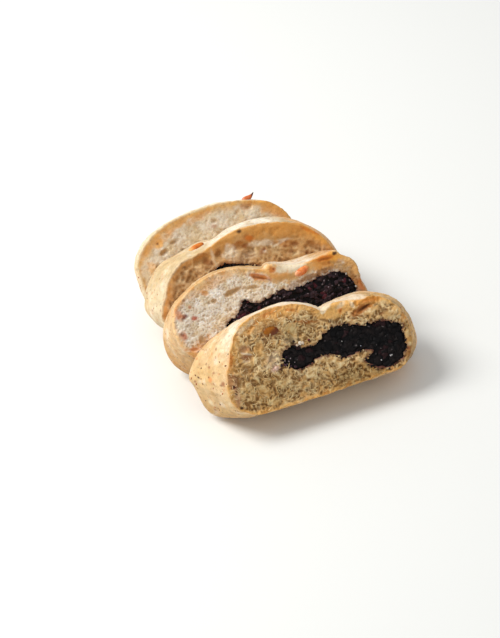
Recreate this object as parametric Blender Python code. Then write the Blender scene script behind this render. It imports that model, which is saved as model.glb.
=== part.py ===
"""Four thick slices of a loaf with a dark berry filling, leaning back one on the next in loaf order.

+X runs along the long axis of every slice, -Y is the side that the cut faces look to, +Z is up.
The origin is at the centre of the base of the whole row.
"""

import math

import bpy
import numpy as np
from mathutils import Vector, noise
from mathutils.geometry import delaunay_2d_cdt

MM = 0.001

# Sizes that drive the row
LEAN_DEG = 37.0
GAP = 0.3
THICKNESS = (28.0, 31.0, 27.0, 31.0)
FIRST_EDGE_Y = 0.0
FLAT_WIDTH = 1.0
HEEL_BASE_RISE = 14.44
CRUST_BULGE = 1.0
CRUST_LUMP = 0.45
FACE_STEP = 6.5
FILLING_STEP = 4.5
FILLING_LUMP = 0.55
RING_POINTS = 68
FILLING_RING_POINTS = 60
SPAN_STEPS = 24
RAISIN_CLEARANCE = 0.3

SIN = math.sin(math.radians(LEAN_DEG))
COS = math.cos(math.radians(LEAN_DEG))

# Where the outline of each cut face turns: along the slice and up it from its bottom edge in millimetres,
# heading of the outline there in degrees, and how far the outline keeps to that heading.
# The outline runs from the bottom left corner up the left end, over the top and back along the bottom.
SLICE_1_FRONT = {
    "base_left": (5.2, 0.2, 176, 0.71),
    "left_end": (-9.3, 13.7, 94, 1.28),
    "left_shoulder": (-3.9, 34.2, 63, 0.89),
    "left_lobe": (30.3, 54.2, -2, 2.09),
    "dip": (56.0, 45.4, 55, 0.58),
    "right_lobe": (78.9, 44.9, 17, 0.72),
    "right_end": (99.2, 15.0, -103, 1.72),
    "base_right": (87.4, 1.7, -176, 0.53),
}
SLICE_1_REAR = {
    "base_left": (1.6, -0.8, -180, 2.09),
    "left_end": (-22.3, 25.8, 116, 0.83),
    "left_shoulder": (-16.4, 37.2, 47, 0.56),
    "left_lobe": (37.6, 52.6, 1, 1.72),
    "dip": (58.4, 44.3, -113, 0.1),
    "right_lobe": (90.6, 45.8, -25, 1.07),
    "right_end": (112.2, 14.5, -90, 1.59),
    "base_right": (88.0, -0.8, -177, 0.18),
}
SLICE_2_FRONT = {
    "base_left": (5.8, 0.3, 178, 0.82),
    "left_end": (-19.7, 19.7, 135, 0.98),
    "left_shoulder": (-17.0, 46.2, 30, 0.76),
    "left_lobe": (16.4, 56.1, -4, 1.54),
    "dip": (36.4, 51.7, 41, 0.6),
    "middle": (68.6, 48.2, 10, 2.2),
    "right_lobe": (80.7, 47.2, -68, 0.83),
    "right_shoulder": (88.8, 33.9, -96, 2.2),
    "right_end": (89.6, 21.0, -89, 2.15),
    "base_right": (70.2, 0.7, -171, 0.35),
}
SLICE_2_REAR = {
    "base_left": (-8.0, -0.6, -173, 0.17),
    "left_end": (-24.8, 21.6, 90, 1.76),
    "left_shoulder": (-11.4, 44.7, 18, 0.2),
    "left_lobe": (36.2, 52.3, -19, 1.85),
    "dip": (44.0, 50.6, 35, 0.9),
    "middle": (58.6, 49.8, 7, 0.46),
    "right_lobe": (86.1, 47.1, -147, 0.27),
    "right_shoulder": (95.8, 35.1, -92, 1.37),
    "right_end": (100.5, 17.0, -86, 1.52),
    "base_right": (90.6, 1.7, -160, 0.42),
}
SLICE_3_FRONT = {
    "base_left": (5.3, 0.1, -180, 1.11),
    "left_end": (-21.3, 15.4, 107, 1.08),
    "left_shoulder": (-15.5, 31.1, 78, 0.54),
    "left_lobe": (1.9, 46.2, 0, 0.9),
    "dip": (17.9, 49.6, 57, 0.1),
    "right_lobe": (37.8, 54.6, -1, 1.34),
    "right_shoulder": (73.9, 45.8, -38, 0.84),
    "right_end": (87.8, 9.8, -108, 1.35),
    "base_right": (77.5, 1.6, -168, 0.52),
}
SLICE_3_REAR = {
    "base_left": (-4.1, 0.3, 139, 0.1),
    "left_end": (-23.7, 27.0, 69, 1.03),
    "left_shoulder": (-16.8, 39.7, 49, 1.35),
    "left_lobe": (10.9, 52.0, 17, 1.63),
    "dip": (24.2, 52.7, -15, 0.26),
    "right_lobe": (52.0, 57.1, -5, 1.06),
    "right_shoulder": (78.8, 48.4, -37, 0.96),
    "right_end": (97.8, 21.4, -90, 1.11),
    "base_right": (70.7, -0.8, -180, 1.82),
}
HEEL_FRONT = {
    "base_left": (11.1, -5.5, 178, 2.2),
    "left_end": (-22.2, 25.1, 94, 1.12),
    "left_shoulder": (-14.4, 41.3, 43, 1.09),
    "lobe": (28.1, 53.6, 3, 0.74),
    "right_shoulder": (68.2, 44.0, -42, 0.67),
    "right_end": (78.6, 17.5, -91, 1.49),
    "base_right": (46.3, -5.6, -179, 1.37),
}
SLICE_TURNS = (
    (SLICE_1_FRONT, SLICE_1_REAR),
    (SLICE_2_FRONT, SLICE_2_REAR),
    (SLICE_3_FRONT, SLICE_3_REAR),
    (HEEL_FRONT, None),
)

# The heel narrows to its rounded end: share of its thickness, and scale about the centre of the outline.
HEEL_PROFILE = (
    (0.0, 1.0), (0.1, 1.012), (0.25, 1.012), (0.42, 0.975), (0.58, 0.9),
    (0.72, 0.79), (0.85, 0.63), (0.95, 0.43), (1.0, 0.26),
)
HEEL_CENTRE = (28.0, 20.0)

# Where the outline of the filling turns, from its left tip over the top and back underneath.
FILLING_1_FRONT = {
    "tip": (24.3, 24.2, 111, 0.63),
    "left_lobe": (34.2, 30.5, -29, 1.59),
    "dip": (42.9, 27.8, -9, 0.76),
    "right_lobe": (67.1, 32.9, -20, 2.2),
    "right_shoulder": (82.7, 30.2, -11, 2.13),
    "right_end": (95.9, 15.1, -91, 1.67),
    "base": (83.6, 3.8, -177, 0.44),
    "hook": (70.7, 9.1, 141, 2.05),
    "nose": (75.6, 15.4, 120, 0.88),
    "waist": (64.3, 16.2, -173, 1.48),
    "hump": (49.1, 20.9, 176, 1.07),
    "base_left": (33.6, 17.1, 174, 1.12),
}
FILLING_2_FRONT = {
    "tip": (6.7, 24.8, 116, 0.61),
    "left_shoulder": (10.1, 29.1, 18, 2.12),
    "left_lobe": (18.3, 36.0, 28, 1.21),
    "dip": (27.5, 33.4, -5, 0.85),
    "middle": (43.4, 36.4, -26, 0.73),
    "right_lobe": (74.1, 38.4, -2, 0.94),
    "right_end": (84.8, 23.8, -89, 1.43),
    "base_right": (75.7, 7.2, -161, 1.1),
    "waist": (46.5, 16.7, 170, 1.18),
}
FILLING_3_FRONT = {
    "tip": (12.2, 30.0, 116, 0.93),
    "lobe": (19.3, 37.0, 13, 0.9),
    "middle": (45.6, 29.1, -25, 1.48),
    "right_shoulder": (73.9, 23.8, -12, 0.94),
    "right_end": (81.7, 13.7, -108, 1.43),
    "base_right": (69.4, 6.6, 176, 0.7),
    "waist": (42.4, 15.8, 166, 1.34),
}
FILLING_TURNS = (FILLING_1_FRONT, FILLING_2_FRONT, FILLING_3_FRONT)

# From the front face to the rear face the filling widens and drifts: scales, then shifts in millimetres.
FILLING_DRIFT = ((1.145, 0.96, 1.2, 1.8), (1.015, 0.96, 3.9, -0.5), (1.09, 0.91, -0.7, -0.3))

# Pits in the cut faces in millimetres: centre, half sizes, turn in degrees, depth.
PITS = (
    (
        (43.8, 40.7, 4.4, 1.3, -24, 2.4), (75.4, 39.0, 4.9, 1.6, 8, 3.0), (5.0, 36.8, 2.6, 1.9, -16, 1.6),
        (5.4, 31.4, 3.6, 1.9, -16, 1.8), (3.6, 25.2, 2.5, 3.0, -17, 2.0), (-2.2, 19.2, 2.2, 2.8, -17, 1.8),
        (13.8, 36.1, 2.0, 2.4, -16, 1.6), (14.4, 28.4, 2.4, 1.8, 20, 1.4),
    ),
    (
        (15.2, 44.1, 6.2, 1.3, 3, 1.7), (28.6, 41.4, 2.6, 1.1, -14, 1.3), (30.8, 46.9, 3.9, 1.2, -19, 2.2),
        (-0.9, 47.2, 1.8, 1.5, -16, 1.4), (-0.5, 34.4, 2.2, 1.7, -16, 1.2), (-9.3, 32.4, 1.8, 2.0, -16, 1.2),
    ),
    (
        (8.4, 42.2, 4.6, 2.6, 4, 3.6), (20.7, 43.7, 2.5, 1.8, 33, 2.4), (36.4, 45.1, 2.2, 1.7, -16, 1.8),
        (65.2, 38.4, 2.6, 1.7, -16, 1.8), (75.0, 33.4, 3.6, 2.1, -45, 1.8), (51.0, 42.0, 2.4, 1.5, -16, 1.2),
    ),
    (
        (-3.8, 34.1, 3.2, 1.7, 14, 1.6), (3.6, 38.6, 2.8, 1.3, 9, 1.4), (30.0, 44.0, 2.2, 1.5, -10, 1.2),
        (52.6, 46.2, 2.4, 1.6, -15, 1.4),
    ),
)

# Fruit and nut pieces: slice, along, up and into the slice, half sizes, turn in degrees, tip pull.
PIECES = (
    ("raisin_1", 0, (22.6, 42.1, 1.0), (4.7, 2.5, 2.3), -7.0, 0.0),
    ("raisin_2", 1, (56.9, 43.6, 1.0), (4.6, 2.6, 2.5), 14.0, 0.2),
    ("almond_3", 2, (11.6, 49.5, 13.0), (4.7, 1.7, 2.6), 12.0, 0.1),
    ("raisin_4", 3, (54.8, 51.0, 3.2), (3.6, 1.9, 1.8), 10.0, 0.9),
)

COLOURS = {
    "bread": (0.72, 0.55, 0.36, 1.0),
    "filling": (0.028, 0.018, 0.026, 1.0),
    "raisin": (0.62, 0.27, 0.08, 1.0),
    "almond": (0.72, 0.36, 0.13, 1.0),
}


def plane_starts():
    """Y and Z, in millimetres, of the bottom edge of each front face."""
    starts = []
    rear_y = FIRST_EDGE_Y + THICKNESS[0] * COS
    starts.append((FIRST_EDGE_Y, THICKNESS[0] * SIN))
    for index in (1, 2):
        rear_y += (THICKNESS[index] + GAP) / COS
        starts.append((rear_y - THICKNESS[index] * COS, THICKNESS[index] * SIN))
    heel_y = rear_y + GAP / COS + HEEL_BASE_RISE * SIN / COS
    starts.append((heel_y, HEEL_BASE_RISE))
    return starts


STARTS = plane_starts()


def place(index, x, h, d):
    """Point of a slice in millimetres: along it, up it and into it from its front face."""
    y0, z0 = STARTS[index]
    return (x, y0 + h * SIN + d * COS, z0 + h * COS - d * SIN)


def lift_to_base(index, h, d):
    """Height up the slice that keeps a point on or above the base."""
    z0 = STARTS[index][1]
    lowest = (d * SIN - z0) / COS
    return max(h, lowest)


def span(start, end):
    """Points of the curve from one turn to the next, without the last one."""
    points = [np.array(turn[:2]) for turn in (start, end)]
    length = np.linalg.norm(points[1] - points[0])
    pulls = []
    for _, _, heading, reach in (start, end):
        angle = math.radians(heading)
        pulls.append(np.array((math.cos(angle), math.sin(angle))) * length * reach)
    t = np.linspace(0.0, 1.0, SPAN_STEPS + 1)[:, None]
    curve = (2.0 * t ** 3 - 3.0 * t ** 2 + 1.0) * points[0]
    curve = curve + (t ** 3 - 2.0 * t ** 2 + t) * pulls[0]
    curve = curve + (3.0 * t ** 2 - 2.0 * t ** 3) * points[1]
    return curve + (t ** 3 - t ** 2) * pulls[1]


def run_along(curve):
    """Distance along a curve at each of its points."""
    return np.concatenate([[0.0], np.cumsum(np.linalg.norm(np.diff(curve, axis=0), axis=1))])


def outline(turns, shares_of, count):
    """Ring through the turns, whose points are shared among its spans by the lengths of another ring."""
    def spans(named):
        listed = list(named.values())
        return [span(listed[i], listed[(i + 1) % len(listed)]) for i in range(len(listed))]

    ends = np.cumsum([run_along(curve)[-1] for curve in spans(shares_of)])
    ends = np.round(ends / ends[-1] * count).astype(int)
    ring = []
    first = 0
    for curve, last in zip(spans(turns), ends):
        along = run_along(curve)
        wanted = np.linspace(0.0, along[-1], last - first + 1)[:-1]
        ring.append(np.stack([np.interp(wanted, along, curve[:, k]) for k in (0, 1)], axis=1))
        first = last
    return np.concatenate(ring)


def normals_out(ring):
    """Unit normals that point out of a ring that runs clockwise."""
    ahead = np.roll(ring, -1, axis=0) - np.roll(ring, 1, axis=0)
    ahead /= np.linalg.norm(ahead, axis=1)[:, None]
    return np.stack([-ahead[:, 1], ahead[:, 0]], axis=1)


def inside(ring, x, y):
    """Whether each point lies inside the ring."""
    result = np.zeros(np.shape(x), bool)
    ax, ay = ring[:, 0], ring[:, 1]
    bx, by = np.roll(ax, -1), np.roll(ay, -1)
    for i in range(len(ring)):
        if ay[i] == by[i]:
            continue
        crosses = (ay[i] > y) != (by[i] > y)
        at = (bx[i] - ax[i]) * (y - ay[i]) / (by[i] - ay[i]) + ax[i]
        result ^= crosses & (x < at)
    return result


def distance_to(ring, x, y):
    """Least distance from each point to the corners of the ring."""
    points = np.stack([np.ravel(x), np.ravel(y)], axis=1)
    gaps = np.linalg.norm(points[:, None, :] - ring[None, :, :], axis=2)
    return gaps.min(axis=1)


def slice_sections(index):
    """Rings of the crust from the front face to the rear face: depth and outline."""
    turns, rear_turns = SLICE_TURNS[index]
    front = outline(turns, turns, RING_POINTS)
    depth = THICKNESS[index]
    if rear_turns is None:
        centre = np.array(HEEL_CENTRE)
        return [(share * depth, centre + (front - centre) * scale) for share, scale in HEEL_PROFILE]
    rear = outline(rear_turns, turns, RING_POINTS)
    sections = []
    for d in (0.0, depth * 0.2, depth * 0.45, depth * 0.7, depth - FLAT_WIDTH, depth):
        t = d / depth
        ring = front * (1.0 - t) + rear * t
        ring = ring + normals_out(ring) * CRUST_BULGE * math.sin(math.pi * t)
        sections.append((d, ring))
    sections[-2] = (sections[-2][0], rear * 0.985 + front * 0.015)
    return sections


def lumpy(index, sections):
    """The same rings with the shallow lumps of a crust between the two cut faces."""
    last = len(sections) - 1
    result = []
    for k, (d, ring) in enumerate(sections):
        if k == 0 or (k >= last - 1 and SLICE_TURNS[index][1] is not None):
            result.append((d, ring))
            continue
        out = normals_out(ring)
        moved = ring.copy()
        for i, (x, h) in enumerate(ring):
            value = noise.noise(Vector((x * 0.09, h * 0.09, d * 0.12 + 7.0 * index)))
            moved[i] += out[i] * value * 2.0 * CRUST_LUMP
        result.append((d, moved))
    return result


def filling_sections(index, grow):
    """Rings of the filling, or of the channel around it when grow is above zero."""
    turns = FILLING_TURNS[index]
    front = outline(turns, turns, FILLING_RING_POINTS)
    wide, high, right, up = FILLING_DRIFT[index]
    middle = (front.min(axis=0) + front.max(axis=0)) / 2.0
    rear = middle + (front - middle) * (wide, high) + (right, up)
    depth = THICKNESS[index]
    sections = []
    for share in (0.0, 0.35, 0.7, 1.0):
        ring = front * (1.0 - share) + rear * share
        sections.append((share * depth, ring + normals_out(ring) * grow))
    return sections


def pit_depth(index, x, h):
    """Depth of the cut face at a point, from the pits that show in it."""
    depth = 0.0
    for px, ph, a, b, turn, deep in PITS[index]:
        c, s = math.cos(math.radians(turn)), math.sin(math.radians(turn))
        u = ((x - px) * c + (h - ph) * s) / a
        v = (-(x - px) * s + (h - ph) * c) / b
        r = math.hypot(u, v)
        if r < 1.0:
            depth = max(depth, deep * (1.0 - r ** 2.5))
    return depth


def pit_points(index):
    """Points that carry the pits of a face."""
    points = []
    for px, ph, a, b, turn, _ in PITS[index]:
        c, s = math.cos(math.radians(turn)), math.sin(math.radians(turn))
        points.append((px, ph))
        for r in (0.62, 1.02):
            for k in range(8):
                angle = 2.0 * math.pi * k / 8
                u, v = r * a * math.cos(angle), r * b * math.sin(angle)
                points.append((px + u * c - v * s, ph + u * s + v * c))
    return points


def pieces_of(index):
    return [piece for piece in PIECES if piece[1] == index]


def grid_points(outer, holes, step, kept_clear):
    """Points of a triangular grid inside the outer ring, clear of the holes and of other points."""
    low, high = outer.min(axis=0), outer.max(axis=0)
    points = []
    rows = int((high[1] - low[1]) / (step * 0.866)) + 2
    columns = int((high[0] - low[0]) / step) + 2
    for j in range(rows):
        for i in range(columns):
            points.append((low[0] + (i + 0.5 * (j % 2)) * step, low[1] + j * step * 0.866))
    points = np.array(points)
    keep = inside(outer, points[:, 0], points[:, 1])
    keep &= distance_to(outer, points[:, 0], points[:, 1]) > step * 0.5
    for hole in holes:
        keep &= ~inside(hole, points[:, 0], points[:, 1])
        keep &= distance_to(hole, points[:, 0], points[:, 1]) > step * 0.45
    if len(kept_clear):
        keep &= distance_to(np.array(kept_clear), points[:, 0], points[:, 1]) > step * 0.45
    return points[keep]


def flat_triangles(outer, holes, extra):
    """Triangles of a flat region: they index the outer ring, then the holes, then the extra points."""
    loops = [outer] + list(holes)
    points = [tuple(p) for loop in loops for p in loop] + [tuple(p) for p in extra]
    edges = []
    start = 0
    for loop in loops:
        edges += [(start + i, start + (i + 1) % len(loop)) for i in range(len(loop))]
        start += len(loop)
    found, _, faces, origins, _, _ = delaunay_2d_cdt([Vector(p) for p in points], edges, [], 0, 1e-6)
    triangles = []
    for face in faces:
        ids = [origins[v][0] for v in face]
        middle = np.mean([points[i] for i in ids], axis=0)
        x, y = middle[:1], middle[1:]
        if not inside(outer, x, y)[0]:
            continue
        if any(inside(hole, x, y)[0] for hole in holes):
            continue
        a, b, c = (np.array(points[i]) for i in ids)
        turn = (b[0] - a[0]) * (c[1] - a[1]) - (b[1] - a[1]) * (c[0] - a[0])
        triangles.append(tuple(ids) if turn > 0 else (ids[0], ids[2], ids[1]))
    return triangles


def wall(rings, flip):
    """Quads between rings of vertex numbers."""
    faces = []
    for low, high in zip(rings[:-1], rings[1:]):
        count = len(low)
        for i in range(count):
            j = (i + 1) % count
            quad = (low[i], low[j], high[j], high[i])
            faces.append(quad[::-1] if flip else quad)
    return faces


def add_object(name, points, faces, kind, collection):
    """A smooth-shaded solid in metres with its own material."""
    mesh = bpy.data.meshes.new(name)
    mesh.from_pydata([tuple(c * MM for c in p) for p in points], [], faces)
    mesh.validate()
    mesh.update()
    for polygon in mesh.polygons:
        polygon.use_smooth = True
    solid = bpy.data.objects.new(name, mesh)
    material = bpy.data.materials.new(name)
    material.use_nodes = True
    shader = material.node_tree.nodes["Principled BSDF"]
    shader.inputs["Base Color"].default_value = COLOURS[kind]
    shader.inputs["Roughness"].default_value = 0.35 if kind in ("raisin", "almond") else 0.75
    mesh.materials.append(material)
    collection.objects.link(solid)
    return solid


def build_slice(index, collection):
    """Crumb and crust of one slice, with the channel of the filling and the pits of its face."""
    sections = lumpy(index, slice_sections(index))
    points = []
    rings = []
    for d, ring in sections:
        rings.append(list(range(len(points), len(points) + len(ring))))
        for x, h in ring:
            points.append(place(index, x, lift_to_base(index, h, d), d))
    faces = wall(rings, flip=False)
    holes_front, holes_rear, hole_rings = [], [], []
    if index < len(FILLING_TURNS):
        for d, ring in filling_sections(index, GAP):
            hole_rings.append(list(range(len(points), len(points) + len(ring))))
            points += [place(index, x, h, d) for x, h in ring]
        channel = filling_sections(index, GAP)
        holes_front, holes_rear = [channel[0][1]], [channel[-1][1]]
        faces += wall(hole_rings, flip=True)
    front = sections[0][1]
    pits = pit_points(index)
    extra = pits + [tuple(p) for p in grid_points(front, holes_front, FACE_STEP, pits)]
    numbers = list(rings[0]) + (hole_rings[0] if hole_rings else [])
    numbers += list(range(len(points), len(points) + len(extra)))
    points += [place(index, x, h, pit_depth(index, x, h)) for x, h in extra]
    faces += [tuple(numbers[i] for i in t) for t in flat_triangles(front, holes_front, extra)]
    rear = sections[-1][1]
    if SLICE_TURNS[index][1] is None:
        middle = len(points)
        x, h = rear.mean(axis=0)
        points.append(place(index, x, h, sections[-1][0] + 0.8))
        last = rings[-1]
        faces += [(last[i], last[(i + 1) % len(last)], middle) for i in range(len(last))]
    else:
        numbers = list(rings[-1]) + hole_rings[-1]
        faces += [tuple(numbers[i] for i in t[::-1]) for t in flat_triangles(rear, holes_rear, [])]
    return add_object("bread_slice_%d" % (index + 1), points, faces, "bread", collection)


def build_filling(index, collection):
    """Filling that runs through one slice, with a lumpy front."""
    sections = filling_sections(index, 0.0)
    points = []
    rings = []
    for d, ring in sections:
        rings.append(list(range(len(points), len(points) + len(ring))))
        points += [place(index, x, h, d) for x, h in ring]
    faces = wall(rings, flip=False)
    front = sections[0][1]
    extra = [tuple(p) for p in grid_points(front, [], FILLING_STEP, [])]
    numbers = rings[0] + list(range(len(points), len(points) + len(extra)))
    for x, h in extra:
        lump = noise.noise(Vector((x * 0.31, h * 0.31, 3.0 + index)))
        points.append(place(index, x, h, FILLING_LUMP * (1.0 + lump)))
    faces += [tuple(numbers[i] for i in t) for t in flat_triangles(front, [], extra)]
    rear = sections[-1][1]
    faces += [tuple(rings[-1][i] for i in t[::-1]) for t in flat_triangles(rear, [], [])]
    return add_object("filling_%d" % (index + 1), points, faces, "filling", collection)


def piece_mesh(index, centre, sizes, turn, pull, grow, around, along):
    """Points and faces of an egg-shaped piece, drawn out to a tip at one end when pull is above zero."""
    c, s = math.cos(math.radians(turn)), math.sin(math.radians(turn))
    points = []

    def add(u, v, w):
        x = centre[0] + u * c - v * s
        h = centre[1] + u * s + v * c
        points.append(place(index, x, h, centre[2] + w))

    add(-(sizes[0] + grow), 0.0, 0.0)
    for j in range(1, along):
        angle = math.pi * j / along
        u = -math.cos(angle)
        radius = math.sin(angle) * (1.0 - pull * 0.5 * (1.0 + u) * 0.8)
        lift = pull * max(u, 0.0) ** 2 * sizes[1] * 0.8
        for i in range(around):
            turned = 2.0 * math.pi * i / around
            v = radius * (sizes[1] + grow) * math.cos(turned) + lift
            w = radius * (sizes[2] + grow) * math.sin(turned)
            add(u * (sizes[0] + grow), v, w)
    add(sizes[0] + grow, pull * sizes[1] * 0.8, 0.0)
    faces = []
    for i in range(around):
        k = (i + 1) % around
        faces.append((0, 1 + i, 1 + k))
        for j in range(along - 2):
            low, high = 1 + j * around, 1 + (j + 1) * around
            faces.append((low + i, high + i, high + k, low + k))
        last = 1 + (along - 2) * around
        faces.append((last + i, len(points) - 1, last + k))
    return points, faces


def build_pieces(slices, collection, cutters):
    """Fruit and nut pieces, each in a pocket of its slice."""
    for name, index, centre, sizes, turn, pull in PIECES:
        kind = name.split("_")[0]
        points, faces = piece_mesh(index, centre, sizes, turn, pull, 0.0, 12, 9)
        add_object(name, points, faces, kind, collection)
        points, faces = piece_mesh(index, centre, sizes, turn, pull, RAISIN_CLEARANCE, 12, 9)
        cutter = add_object(name + "_pocket", points, faces, kind, cutters)
        cutter.hide_render = True
        cutter.display_type = "WIRE"
        cut = slices[index].modifiers.new(name + "_pocket", "BOOLEAN")
        cut.operation = "DIFFERENCE"
        cut.solver = "EXACT"
        cut.object = cutter


def centre_row(objects):
    """Moves the whole row so that the centre of its base is the origin."""
    bpy.context.view_layer.update()
    graph = bpy.context.evaluated_depsgraph_get()
    lows, highs = [], []
    for solid in objects:
        mesh = solid.evaluated_get(graph).to_mesh()
        points = np.empty(len(mesh.vertices) * 3)
        mesh.vertices.foreach_get("co", points)
        points = points.reshape(-1, 3)
        lows.append(points.min(axis=0))
        highs.append(points.max(axis=0))
    low, high = np.min(lows, axis=0), np.max(highs, axis=0)
    shift = Vector((-(low[0] + high[0]) / 2, -(low[1] + high[1]) / 2, -low[2]))
    for mesh in bpy.data.meshes:
        for vertex in mesh.vertices:
            vertex.co += shift
        mesh.update()


def main():
    for old in list(bpy.data.objects):
        bpy.data.objects.remove(old, do_unlink=True)
    for old in list(bpy.data.meshes):
        bpy.data.meshes.remove(old)
    row = bpy.data.collections.new("stuffed_bread_slices")
    cutters = bpy.data.collections.new("cutters")
    cutters.hide_render = True
    bpy.context.scene.collection.children.link(row)
    bpy.context.scene.collection.children.link(cutters)
    slices = [build_slice(index, row) for index in range(4)]
    for index in range(len(FILLING_TURNS)):
        build_filling(index, row)
    build_pieces(slices, row, cutters)
    centre_row(list(row.objects))


main()
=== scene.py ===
"""Looks of a row of thick stuffed bread slices: crumb, crust, berry filling, raisins and an almond."""

import math
from itertools import product

import bmesh
import bpy
import numpy as np
from mathutils import Matrix, Vector
from mathutils.geometry import delaunay_2d_cdt


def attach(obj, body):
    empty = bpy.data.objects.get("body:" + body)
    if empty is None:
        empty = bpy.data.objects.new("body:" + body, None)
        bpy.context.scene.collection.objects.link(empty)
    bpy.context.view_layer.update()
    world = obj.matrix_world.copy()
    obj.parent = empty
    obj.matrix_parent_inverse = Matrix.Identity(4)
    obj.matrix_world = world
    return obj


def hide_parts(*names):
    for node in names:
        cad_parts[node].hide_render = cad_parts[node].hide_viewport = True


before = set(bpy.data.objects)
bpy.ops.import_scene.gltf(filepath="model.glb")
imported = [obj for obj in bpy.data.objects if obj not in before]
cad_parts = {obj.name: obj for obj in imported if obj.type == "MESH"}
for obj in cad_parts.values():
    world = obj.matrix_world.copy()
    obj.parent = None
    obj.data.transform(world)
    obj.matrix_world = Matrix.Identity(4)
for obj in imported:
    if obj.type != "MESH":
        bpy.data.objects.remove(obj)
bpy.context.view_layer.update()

# Lengths are in millimetres and angles in degrees. A place on a slice is given as along it, up its cut face,
# and into it from the front face.
MM = 0.001
LEAN = math.radians(37.0)
SIN, COS = math.sin(LEAN), math.cos(LEAN)
GAP = 0.3
THICKNESS = (28.0, 31.0, 27.0, 31.0)
HEEL_BASE_RISE = 14.44
SHIFT = np.array((-43.7, -76.4913, 0.0))
LOWEST = 0.02
CRUST_BULGE = 1.0
CRUST_LUMP = 0.495
FOAM_STEP = 0.18
HEEL_END = 1.02
# Rings of the channel and of its filling. Then the depth of the channel's second ring and of the filling's
# first, how far the filling ends before the rear face, and how much wider it is than the channel.
CHANNEL_STEPS, FILLING_STEPS = 7, 6
CHANNEL_LIP, FILLING_SUNK, FILLING_SHORT, FILLING_GROWTH = 0.9, 1.6, 0.9, 0.35
# As shares of the spacing: how far scattered points and points of a grid stray, how high the grid's rows are,
# and how far the grid keeps from an outline.
CELL_JITTER, GRID_JITTER, ROW_HEIGHT, GRID_CLEAR = 0.95, 0.3, 0.866, 0.55
# Points of a curve between two turns, points that are compared at a time, and the range of a random heading.
SPAN_POINTS, CHUNK, ANY_WAY = 97, 4000, 6.3
FRUIT_AROUND, FRUIT_ALONG = 56, 44
THREAD_SIDES, THREAD_STEPS = 5, 7
# How far one easing of a cut face moves its relief and its colour to the mean around, and a distance that is
# past every other one.
RELIEF_EASE, TONE_EASE, FAR = 0.55, 0.35, 99.0

# Spacing of the meshes, and how many points their rings have.
FACE_GRID, FILLING_GRID, REAR_GRID, WALL_STEP = ((0.38, 0.27, 0.85, 0.62))
RING_COUNT, HOLE_COUNT = ((560, 340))

# Where the outline of each slice turns, at its front face and then at its rear face: along, up, heading, and
# how far the outline keeps to that heading.
# It runs from the bottom left corner up the left end, over the top and back along the bottom.
SLICE_1 = {
    "base_left": ((5.2, 0.2, 176, 0.71), (1.6, -0.8, -180, 2.09)),
    "left_end": ((-9.3, 13.7, 94, 1.28), (-22.3, 25.8, 116, 0.83)),
    "left_shoulder": ((-3.9, 34.2, 63, 0.89), (-16.4, 37.2, 47, 0.56)),
    "left_lobe": ((30.3, 54.2, -2, 2.09), (37.6, 52.6, 1, 1.72)),
    "dip": ((56, 45.4, 55, 0.58), (58.4, 44.3, -113, 0.1)),
    "right_lobe": ((78.9, 44.9, 17, 0.72), (90.6, 45.8, -25, 1.07)),
    "right_end": ((99.2, 15, -103, 1.72), (112.2, 14.5, -90, 1.59)),
    "base_right": ((87.4, 1.7, -176, 0.53), (88, -0.8, -177, 0.18)),
}
SLICE_2 = {
    "base_left": ((5.8, 0.3, 178, 0.82), (-8, -0.6, -173, 0.17)),
    "left_end": ((-19.7, 19.7, 135, 0.98), (-24.8, 21.6, 90, 1.76)),
    "left_shoulder": ((-17, 46.2, 30, 0.76), (-11.4, 44.7, 18, 0.2)),
    "left_lobe": ((16.4, 56.1, -4, 1.54), (36.2, 52.3, -19, 1.85)),
    "dip": ((36.4, 51.7, 41, 0.6), (44, 50.6, 35, 0.9)),
    "middle": ((68.6, 48.2, 10, 2.2), (58.6, 49.8, 7, 0.46)),
    "right_lobe": ((80.7, 47.2, -68, 0.83), (86.1, 47.1, -147, 0.27)),
    "right_shoulder": ((88.8, 33.9, -96, 2.2), (95.8, 35.1, -92, 1.37)),
    "right_end": ((89.6, 21, -89, 2.15), (100.5, 17, -86, 1.52)),
    "base_right": ((70.2, 0.7, -171, 0.35), (90.6, 1.7, -160, 0.42)),
}
SLICE_3 = {
    "base_left": ((5.3, 0.1, -180, 1.11), (-4.1, 0.3, 139, 0.1)),
    "left_end": ((-21.3, 15.4, 107, 1.08), (-23.7, 27, 69, 1.03)),
    "left_shoulder": ((-15.5, 31.1, 78, 0.54), (-16.8, 39.7, 49, 1.35)),
    "left_lobe": ((1.9, 46.2, 0, 0.9), (10.9, 52, 17, 1.63)),
    "dip": ((17.9, 49.6, 57, 0.1), (24.2, 52.7, -15, 0.26)),
    "right_lobe": ((37.8, 54.6, -1, 1.34), (52, 57.1, -5, 1.06)),
    "right_shoulder": ((73.9, 45.8, -38, 0.84), (78.8, 48.4, -37, 0.96)),
    "right_end": ((87.8, 9.8, -108, 1.35), (97.8, 21.4, -90, 1.11)),
    "base_right": ((77.5, 1.6, -168, 0.52), (70.7, -0.8, -180, 1.82)),
}
HEEL = {
    "base_left": ((11.1, -5.5, 178, 2.2),),
    "left_end": ((-22.2, 25.1, 94, 1.12),),
    "left_shoulder": ((-14.4, 41.3, 43, 1.09),),
    "lobe": ((28.1, 53.6, 3, 0.74),),
    "right_shoulder": ((68.2, 44, -42, 0.67),),
    "right_end": ((78.6, 17.5, -91, 1.49),),
    "base_right": ((46.3, -5.6, -179, 1.37),),
}
SLICES = (SLICE_1, SLICE_2, SLICE_3, HEEL)

# The heel narrows to its rounded end: share of its thickness, and scale about the centre of the outline.
HEEL_PROFILE = (
    (0, 1), (0.1, 1.012), (0.25, 1.012), (0.42, 0.975), (0.58, 0.9),
    (0.72, 0.79), (0.85, 0.63), (0.95, 0.43), (1, 0.26),
)
HEEL_CENTRE = np.array((28.0, 20.0))

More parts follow.
